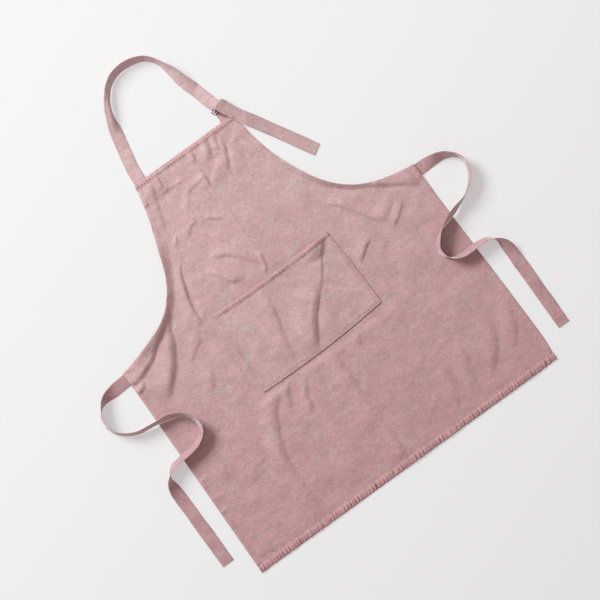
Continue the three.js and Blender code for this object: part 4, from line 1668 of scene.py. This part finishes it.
@dataclass
class Tape:
    """A folded and topstitched linen strap along its stations."""

    name: str
    node: str
    finish: LinenFinish
    sewing: Sewing
    seed: int
    columns: int = 16
    spacing: float = 1.6
    seam_inset: float = 3.0
    twist_step: float = 0.35
    crossing_top: float = -58.0
    skirt_length: float = 466.0
    ramp: Span = (6.0, 34.0)
    waist_half: float = 342.0
    hem_lift: float = 0.8
    lowest: float = 0.02
    edge_waves: Span = (55.0, 0.35)
    long_waves: Span = (34.0, 0.16)
    fine_waves: Span = (11.0, 0.05)
    edge_share: float = 0.6
    edge_apart: float = 40.0
    edge_trim: float = 0.3
    edge_band: Span = (0.55, 0.95)
    seam_depth: float = 0.28
    seam_width: float = 0.9
    sewn_end: Span = (4.0, 24.0)
    free_end: Span = (0.0, 6.0)
    map_apart: float = 200.0
    pucker_apart: float = 31.0
    pucker_size: tuple[float, ...] = (6.5, 0.08, 0.12, 0.4)
    pucker_wander: float = 2.0
    stitch_sink: float = 0.2
    stitch_ends: tuple[int, int] = (8, -3)

    def ground(self, x: Array, y: Array) -> Array:
        """The height of what the strap lies on: the table, or the panel's side hem and the ramp to it."""
        lift = (CLOTH + self.hem_lift + SEAM_GAP) * (1 - ease(np.abs(x) - self.waist_half, *self.ramp))
        return np.where((y < self.crossing_top) & (y > -self.skirt_length), lift, 0.0)

    def laid(self, route: tuple[Turn, ...]) -> Array:
        """The stations of a strap that lies along a route.

        Args:
            route: The route's points.

        Returns:
            One row a station: its centre, then the direction from its left to its right edge.
        """
        line = smooth_line(np.array([(p.x, p.y, p.roll * self.twist_step) for p in route]), 16)
        line = spread_evenly(line, 4 * len(line))
        travel = unit(np.gradient(line[:, :2], axis=0))
        roll = np.radians(line[:, 2] / self.twist_step)
        across = np.column_stack([
            travel[:, 1] * np.cos(roll), -travel[:, 0] * np.cos(roll), np.sin(roll)])
        lift = (STRAP_WIDTH * np.abs(np.sin(roll)) + STRAP_CLOTH * np.abs(np.cos(roll))) / 2
        centre = np.column_stack([line[:, :2], self.ground(line[:, 0], line[:, 1]) + lift])
        return np.hstack([centre, across])

    def stations(self) -> Array:
        """The strap's stations from its sewn end to its free end."""
        raise NotImplementedError

    def even_stations(self) -> Array:
        """The stations at the mesh's own spacing."""
        rows = self.stations()
        return spread_evenly(rows, int(line_length(rows[:, :3]) / self.spacing) + 1)

    def bent(self, rows: Array, u: Array) -> Array:
        """How far places across the strap are moved where it is bent across, at each station."""
        return np.zeros((len(rows), len(u), 3))

    def shade(self, points: Array) -> Array:
        """How much painted shade darkens the strap at each point, from 0 to 1."""
        return np.zeros(points.shape[:2])

    def faces(self, rows: Array) -> Array:
        """The direction that the strap's front faces at each station."""
        return unit(np.cross(rows[:, 3:], np.gradient(rows[:, :3], axis=0)))

    def build(self) -> Piece:
        """Returns:
            The strap.
        """
        rows = self.even_stations()
        face = self.faces(rows)
        length = line_length(rows[:, :3])
        run = np.linspace(0, length, len(rows))[:, None]
        u = np.linspace(-1, 1, self.columns + 1)[None, :]
        uneven = Crumple(self.seed, *self.edge_waves)
        wave = Crumple(self.seed + 1, *self.long_waves)
        fine = Crumple(self.seed + 2, *self.fine_waves)
        half = STRAP_WIDTH / 2 - self.edge_trim + 0 * u
        shaken = uneven.height(run + 0 * u, self.edge_apart * np.sign(u) + 0 * run)
        reach = u * half + np.abs(u) * shaken * self.edge_share
        rounding = np.sqrt(np.clip(1 - np.abs(u) ** 10, 0.08, 1))
        from_seam = np.abs(u) * half - (STRAP_WIDTH / 2 - self.seam_inset)
        seam = self.seam_depth * bell(from_seam, self.seam_width)
        thick = (STRAP_CLOTH / 2) * rounding - seam + 0 * run
        ends = ease(run, *self.sewn_end) * ease(length - run, *self.free_end)
        sway = (wave.height(run + 0 * u, reach) + fine.height(run + 0 * u, reach)) * ends
        middle = rows[:, None, :3] + rows[:, None, 3:] * reach[..., None]
        middle = middle + face[:, None] * sway[..., None] + self.bent(rows, u[0])
        front = middle + face[:, None] * thick[..., None]
        back = middle - face[:, None] * thick[..., None]
        for side in (front, back):
            side[..., 2] = np.maximum(side[..., 2], self.lowest)
        flat = np.dstack([reach + 0 * run + self.map_apart * self.seed, run + 0 * u])
        edge = ease(np.abs(u), *self.edge_band) * ends
        out = rows[:, None, 3:] * (np.sign(u) * edge)[..., None]
        # The shade mark is painted shade, darkening the strap through its material.
        marks = {"run": (run + self.pucker_apart * np.sign(u)) * MM, "across": np.abs(u) + 0 * run,
                 "loose": edge, "raise": face[:, None] + 0 * front, "outward": out,
                 "shade": self.shade(front)}
        mesh = wall_mesh(self.name, front, back, flat, 1, marks)
        drawn = Puckers(*self.pucker_size, self.seed, wander=self.pucker_wander)
        piece = self.sewing.draw_up(mesh, self.finish, drawn)
        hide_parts(self.node)
        sewn = self.sew(rows, face)
        return piece

    def sew(self, rows: Array, face: Array) -> Piece:
        """Topstitches both edges of both faces.

        Args:
            rows: The strap's stations.
            face: The way that its front faces at each.

        Returns:
            The stitches.
        """
        lines = []
        kept = slice(*self.stitch_ends)
        reach = STRAP_WIDTH / 2 - self.seam_inset
        bent = self.bent(rows, np.array([-1.0, 1.0]) * reach * 2 / STRAP_WIDTH)
        for place, edge in enumerate((-1, 1)):
            for front in (-1, 1):
                path = rows[:, :3] + rows[:, 3:] * edge * reach + bent[:, place]
                path = path + face * front * (STRAP_CLOTH / 2 - self.stitch_sink)
                lines.append(StitchLine(path[kept], face[kept] * front))
        return self.sewing.stitches(f"{self.node}_stitches", lines, self.finish.slot)


@dataclass
class WaistTie(Tape):
    """A waist tie: out from the waist corner, a loop on its edge, an S over the skirt, a flat end."""

    route: tuple[Turn, ...] = ()

    def stations(self) -> Array:
        """The tie's stations along its route."""
        return self.laid(self.route)


@dataclass
class RingPlace:
    """The slim ring, and points in its own frame: along its bars, up the neck strap, above the table."""

    centre: Span = (103.5, 301.5)
    turn: float = math.radians(15)
    half_length: float = 16.5
    half_height: float = 4.6
    corner: float = 2.5
    wire_radius: float = 1.1
    gather: float = 0.9

    @property
    def height(self) -> float:
        """The height of the wire's middle above the table."""
        return STRAP_CLOTH + SEAM_GAP + self.wire_radius

    @property
    def wrap_radius(self) -> float:
        """The radius of a strap's middle where it turns round a bar."""
        return self.wire_radius + SEAM_GAP + STRAP_CLOTH / 2

    @property
    def along(self) -> Array:
        """The direction of the ring's bars."""
        return np.array([math.cos(self.turn), math.sin(self.turn), 0.0])

    def point(self, along: float, up: float, z: float) -> Array:
        """A point along the bars, up the neck strap and above the table, in the apron's frame."""
        over = np.array([-math.sin(self.turn), math.cos(self.turn), 0.0])
        return np.array([*self.centre, z]) + self.along * along + over * up

    def turned(self, place: Spot, radius: float, reach: int, gather: float = 1.0,
               steps: int = 14) -> Array:
        """Half a turn of strap across the bars, from its upper lay to its lower one.

        Args:
            place: The middle of the turn: along the bars, up the neck strap, above the table.
            radius: The turn's radius.
            reach: 1 where the turn reaches up the neck strap and -1 where it reaches down.
            gather: How much of its width the strap keeps.
            steps: How many spans the turn has.

        Returns:
            The stations.
        """
        along, up, z = place
        rows = []
        for turn in np.linspace(0, math.pi, steps + 1):
            middle = self.point(along, up + reach * radius * math.sin(turn), z + radius * math.cos(turn))
            rows.append([*middle, *(self.along * gather)])
        return np.array(rows)


@dataclass
class NeckStrap(Tape):
    """The neck strap: up from the left bib corner, over in an arch on its edge, round the ring."""

    ring: RingPlace = field(default_factory=RingPlace)
    offset: float = -2.3
    join: float = 56.0
    route: tuple[Turn, ...] = strap_route(
        (-102.2, BIB_HEIGHT - STRAP_TUCK, 0), (-98.6, 300, 0), (-91.2, 340, 0),
        (-82.2, 380, -11), (-77.4, 400, -28), (-71, 420, -46), (-63.4, 434.4, -56),
        (-56.6, 442.6, -60), (-46, 454, -60), (-28, 466, -58), (-4, 471, -57),
        (19.5, 468.8, -59), (41.5, 460.2, -65), (53.5, 449, -70), (61, 437.5, -71),
        (66.6, 424, -61), (72, 406, -42), (77.4, 383, -24))
    curl: float = math.radians(96)
    curl_at: Span = (-71.0, 420.0)
    curl_reach: float = 44.0
    curl_band: Span = (-0.5, 0.6)
    curl_steps: int = 41

    def stations(self) -> Array:
        """Lays the strap out over its arch and round the ring.

        Returns:
            The stations from the bib corner to its turned end.
        """
        ring = self.ring
        flat, doubled = STRAP_CLOTH / 2, 1.5 * STRAP_CLOTH + SEAM_GAP
        joining = ring.point(self.offset, self.join, 0)
        laid = self.laid((*self.route, Turn(joining[0], joining[1], 0)))
        climb = [(34, flat + 0.9, 1.0), (27, doubled, 0.98), (17, doubled + 0.9, 0.95),
                 (10, doubled + 2, ring.gather)]
        rows = [[*ring.point(self.offset, up, z), *(ring.along * -gather)] for up, z, gather in climb]
        turned = [[*ring.point(self.offset, ring.half_height + up, flat), *(ring.along * -ring.gather)]
                  for up in (8, 19)]
        round_bar = (self.offset, ring.half_height, ring.height)
        wrap = ring.turned(round_bar, ring.wrap_radius, -1, -ring.gather)
        end = np.vstack([laid[-1:], rows, wrap, turned])
        return np.vstack([laid[:-1], smooth_line(end, 6)])

    def bent(self, rows: Array, u: Array) -> Array:
        """The strap's inner half, curled down where it tips up beside the arch.

        Args:
            rows: The strap's stations.
            u: Places across the strap, from -1 to 1.

        Returns:
            The shift of each place at each station.
        """
        near = bell(np.linalg.norm(rows[:, :2] - self.curl_at, axis=1), self.curl_reach)
        across = np.linspace(-1, 1, self.curl_steps)
        share = ease(across, *self.curl_band)
        angle = -self.curl * near[:, None] * (share - share.mean())
        shifts = []
        for slope, way in ((np.cos(angle) - 1, rows[:, 3:]), (np.sin(angle), self.faces(rows))):
            grown = np.cumsum(slope, axis=1) * STRAP_WIDTH / self.curl_steps
            grown = grown - (grown[:, :1] + grown[:, -1:]) / 2
            shift = np.array([np.interp(u, across, line) for line in grown])
            shifts.append(shift[..., None] * way[:, None])
        return shifts[0] + shifts[1]


@dataclass
class NeckTie(Tape):
    """The adjusting strap: up from the right bib corner, through the ring and loosely folded back.

    The places in through, fold and back are in the ring's own frame.
    """

    ring: RingPlace = field(default_factory=RingPlace)
    root: Spot = (101.6, BIB_HEIGHT - STRAP_TUCK, STRAP_CLOTH / 2)
    rise: tuple[float, ...] = (0.0, 0.35, 0.7)
    through: tuple[Spot, ...] = (
        (-2.0, -6, 0.7), (-1.8, -2.6, 0.9), (-1.6, -1.6, 1.6), (-1.1, -0.9, 2.8), (-0.3, -0.5, 4.2),
        (1, 0.6, 5.6), (2.6, 2.2, 6.5), (4.1, 4.6, 6.9))
    fold: Spot = (5, 6.8, 9.9)
    fold_radius: float = 0.9
    fold_bow: float = 4.0
    bow_reach: float = 9.0
    back: tuple[Spot, ...] = ((5.4, 4.4, 10.75), (6, 0.5, 10.3))
    tail: tuple[Spot, ...] = (
        (113.5, 292, 8.2), (123, 273, 6.6), (133, 254.5, 5.4), (148, 231, 3.4), (163, 205, 1.2),
        (180, 176, 0.7), (196, 148, 0.7), (210, 124, 0.7))
    tail_turn: int = 3
    shade_route: Route = ((88, 305), (97, 293), (105, 280), (115, 268))
    shade_margin: float = 20.0
    shade_reach: Span = (6.0, 2.0)
    shade_top: float = 5.8

    def stations(self) -> Array:
        """Lays the strap out through the ring and back over it.

        Returns:
            The stations from the bib corner to its free end.
        """
        ring = self.ring
        bars = ring.along
        through = np.array([[*ring.point(*place), *bars] for place in self.through])
        start = np.array([*self.root, 1.0, 0.0, 0.0])
        rise = [start * (1 - share) + through[0] * share for share in self.rise]
        fold = ring.turned(self.fold, self.fold_radius, 1)[::-1]
        back = [[*ring.point(*place), *bars] for place in self.back]
        run = unit(np.array(self.tail[-1][:2]) - np.array(ring.centre))
        square = np.array([-run[1], run[0], 0.0])
        tail = []
        for k, point in enumerate(self.tail):
            share = min(1.0, (k + 1) / self.tail_turn)
            tail.append([*point, *unit(bars * (1 - share) + square * share)])
        return smooth_line(np.vstack([rise, through, fold, back, tail]), 6)

    def shade(self, points: Array) -> Array:
        """Painted shade in the gap where the tail lies over the strap's root.

        Args:
            points: The points of the strap's front.

        Returns:
            How dark each is, from 0 to 1.
        """
        away = Way(self.shade_route, self.shade_margin).nearest(points[..., 0], points[..., 1])
        first, last = self.shade_reach
        dark = np.zeros(points.shape[:2])
        dark[away.near] = bell(away.apart, first + (last - first) * away.share)
        return dark * (points[..., 2] < self.shade_top)

    def bent(self, rows: Array, u: Array) -> Array:
        """The fold's two ends, drawn down from its crest.

        Args:
            rows: The strap's stations.
            u: Places across the strap, from -1 to 1.

        Returns:
            The shift of each place at each station.
        """
        along, up, z = self.fold
        crest = self.ring.point(along, up + self.fold_radius, z)
        down = self.ring.point(0, -self.fold_bow, 0) - self.ring.point(0, 0, 0)
        near = bell(np.linalg.norm(rows[:, :3] - crest, axis=1), self.bow_reach)
        return near[:, None, None] * (u**2)[:, None] * down


@dataclass
class StrapRing:
    """The slim ring's wire."""

    finish: RingFinish
    place: RingPlace = field(default_factory=RingPlace)

    def build(self) -> Piece:
        """Draws the wire round the ring's rounded outline.

        Returns:
            The ring, riding on the apron in place of its solid.
        """
        place = self.place
        points = []
        for quarter, (sign_x, sign_y) in enumerate(((1, 1), (-1, 1), (-1, -1), (1, -1))):
            for turn in np.linspace(0, math.pi / 2, 9) + quarter * math.pi / 2:
                along = sign_x * (place.half_length - place.corner) + place.corner * math.cos(turn)
                up = sign_y * (place.half_height - place.corner) + place.corner * math.sin(turn)
                points.append(place.point(along, up, place.height))
        count = len(points)
        mesh = bpy.data.meshes.new("ring_wire")
        loop = [(k, (k + 1) % count) for k in range(count)]
        mesh.from_pydata(to_frame(np.array(points)).tolist(), loop, [])
        piece = WireShape().make("ring_wire", mesh, self.finish.material(), Radius=place.wire_radius * MM)
        join_apron(piece)
        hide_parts("strap_ring")
        return piece


LEFT_TIE_ROUTE = strap_route(
    (-332, -20, 0), (-352, -20, 0), (-366, -20.5, 5), (-380, -22, 21), (-392, -24, 38),
    (-403, -28, 58), (-417.5, -38, 88), (-426.5, -53, 100), (-428.5, -69, 102),
    (-421.5, -88, 102), (-407, -103, 103), (-386, -114, 105), (-345, -120, 108),
    (-322, -123.5, 112), (-303, -132, 112), (-288.5, -146, 107), (-281, -163, 106),
    (-284, -179, 108), (-297, -191.5, 112), (-315, -199, 115), (-350, -203, 115),
    (-369, -206, 111), (-381, -213, 98), (-388, -223, 74), (-391.5, -236, 42),
    (-393, -256, 12), (-393, -290, 0), (-392.5, -418, 0))

RIGHT_TIE_ROUTE = strap_route(
    (332, -20, 0), (352, -20, 0), (366, -20.5, -14), (380, -22, -34), (392, -24, -47),
    (403, -28.5, -56), (417, -39, -74), (424.5, -54, -77), (425, -68, -77),
    (419, -84, -78), (406, -99, -82), (384, -113.5, -94), (362, -121, -108),
    (344, -127, -112), (325, -133.5, -98), (308, -142, -84), (293, -155.5, -75),
    (285.5, -170, -75), (288, -184, -82), (299, -196, -98), (315, -202, -112),
    (350, -202.5, -116), (368, -204, -111), (381, -209.5, -98), (389, -219, -74),
    (394.5, -232, -42), (397, -252, -12), (397, -290, 0), (396.5, -424, 0))


@dataclass
class Studio:
    """The pale surface, the soft light and the camera straight above."""

    centre: Span = (14.0, -89.7)
    turn: float = math.radians(-35.9)
    width: float = 1.1491
    height: float = 9.0
    sensor: float = 36.0
    floor_size: float = 8.0
    floor_drop: float = 0.0004
    key_power: float = 1066.0
    key_size: float = 4.0
    key_distance: float = 9.5
    key_elevation: float = math.radians(36)
    key_heading: float = math.radians(114)
    fill: float = 0.452
    fill_tint: Colour = (1.0, 0.875, 0.875)
    key_tint: Colour = (0.92, 1.0, 1.0)

    def floor(self) -> None:
        """Lays the pale surface under the apron."""
        half = self.floor_size / 2
        corners = [(-half, -half), (half, -half), (half, half), (-half, half)]
        mesh = bpy.data.meshes.new("floor")
        mesh.from_pydata([(x, y, -self.floor_drop) for x, y in corners], [], [(0, 1, 2, 3)])
        mesh.materials.append(FloorFinish().material())
        place_piece("floor", mesh)

    def light(self) -> None:
        """Sets one broad soft light beyond the bib's left corner, and an even fill."""
        world = bpy.data.worlds.new("soft_fill")
        world.use_nodes = True
        back = world.node_tree.nodes["Background"]
        back.inputs["Color"].default_value = opaque(self.fill_tint)
        back.inputs["Strength"].default_value = self.fill
        bpy.context.scene.world = world
        lamp = bpy.data.lights.new("broad_window", "AREA")
        lamp.energy = self.key_power
        lamp.color = self.key_tint
        lamp.size = self.key_size
        key = bpy.data.objects.new("broad_window", lamp)
        flat = self.key_distance * math.cos(self.key_elevation)
        key.location = (flat * math.cos(self.key_heading), flat * math.sin(self.key_heading),
                        self.key_distance * math.sin(self.key_elevation))
        key.rotation_euler = (-key.location).to_track_quat("-Z", "Y").to_euler()
        bpy.context.scene.collection.objects.link(key)

    def camera(self) -> None:
        """Looks straight down on the apron, turned as it lies in the picture."""
        data = bpy.data.cameras.new("above")
        data.sensor_width = self.sensor
        data.lens = self.sensor * self.height / self.width
        view = bpy.data.objects.new("above", data)
        x, y, _ = to_frame(np.array([*self.centre, 0.0]))
        view.location = (x, y, self.height)
        view.rotation_euler = (0.0, 0.0, self.turn)
        bpy.context.scene.collection.objects.link(view)
        bpy.context.scene.camera = view

    def build(self) -> None:
        """Sets the surface, the light, the camera and a plain colour response."""
        bpy.context.scene.view_settings.view_transform = "Standard"
        self.floor()
        self.light()
        self.camera()


BODY_LINEN = LinenFinish(
    "body_linen_washed", Slot.BODY, low=(0.490, 0.284, 0.290), high=(0.580, 0.380, 0.380),
    ridge=(0.520, 0.270, 0.290), centre_fold_shading=0.01)
POCKET_LINEN = LinenFinish(
    "pocket_linen_washed", Slot.POCKET, low=(0.505, 0.309, 0.312), high=(0.580, 0.391, 0.391),
    ridge=(0.525, 0.275, 0.292))
NECK_LINEN = LinenFinish(
    "neck_linen_washed", Slot.STRAP, low=(0.625, 0.426, 0.430), high=(0.625, 0.426, 0.430),
    ridge=(0.560, 0.335, 0.345), sheen=0.4)
# The neck tie's linen is the strap linen made darker, as painted shade for the tail that tilts away from
# the light.
SHADED_NECK_TIE_LINEN = LinenFinish(
    "neck_tie_linen_painted_shade", Slot.STRAP, low=(0.545, 0.362, 0.360), high=(0.545, 0.362, 0.360),
    ridge=(0.500, 0.300, 0.305), sheen=0.25)
TIE_LINEN = LinenFinish(
    "tie_linen_washed", Slot.STRAP, low=(0.472, 0.268, 0.279), high=(0.472, 0.268, 0.279),
    ridge=(0.470, 0.250, 0.266), patches=0.12, sheen=0.9)


def main() -> None:
    """Builds the apron piece by piece on its stage."""
    logging.basicConfig(level=logging.INFO, format="%(name)s %(message)s")
    Studio().build()
    sewing = Sewing()
    parts = [
        BodyPanel(BODY_LINEN, sewing),
        Pocket(POCKET_LINEN, sewing),
        NeckStrap("neck_strap_tape", "neck_strap", NECK_LINEN, sewing, 41),
        StrapRing(RingFinish()),
        NeckTie("neck_tie_tape", "neck_tie", SHADED_NECK_TIE_LINEN, sewing, 51),
        WaistTie("left_tie_tape", "left_tie", TIE_LINEN, sewing, 61, route=LEFT_TIE_ROUTE),
        WaistTie("right_tie_tape", "right_tie", TIE_LINEN, sewing, 71, route=RIGHT_TIE_ROUTE),
    ]
    for part in parts:
        made = part.build()
        LOG.info("built %s", made.name)


if __name__ == "__main__":
    main()
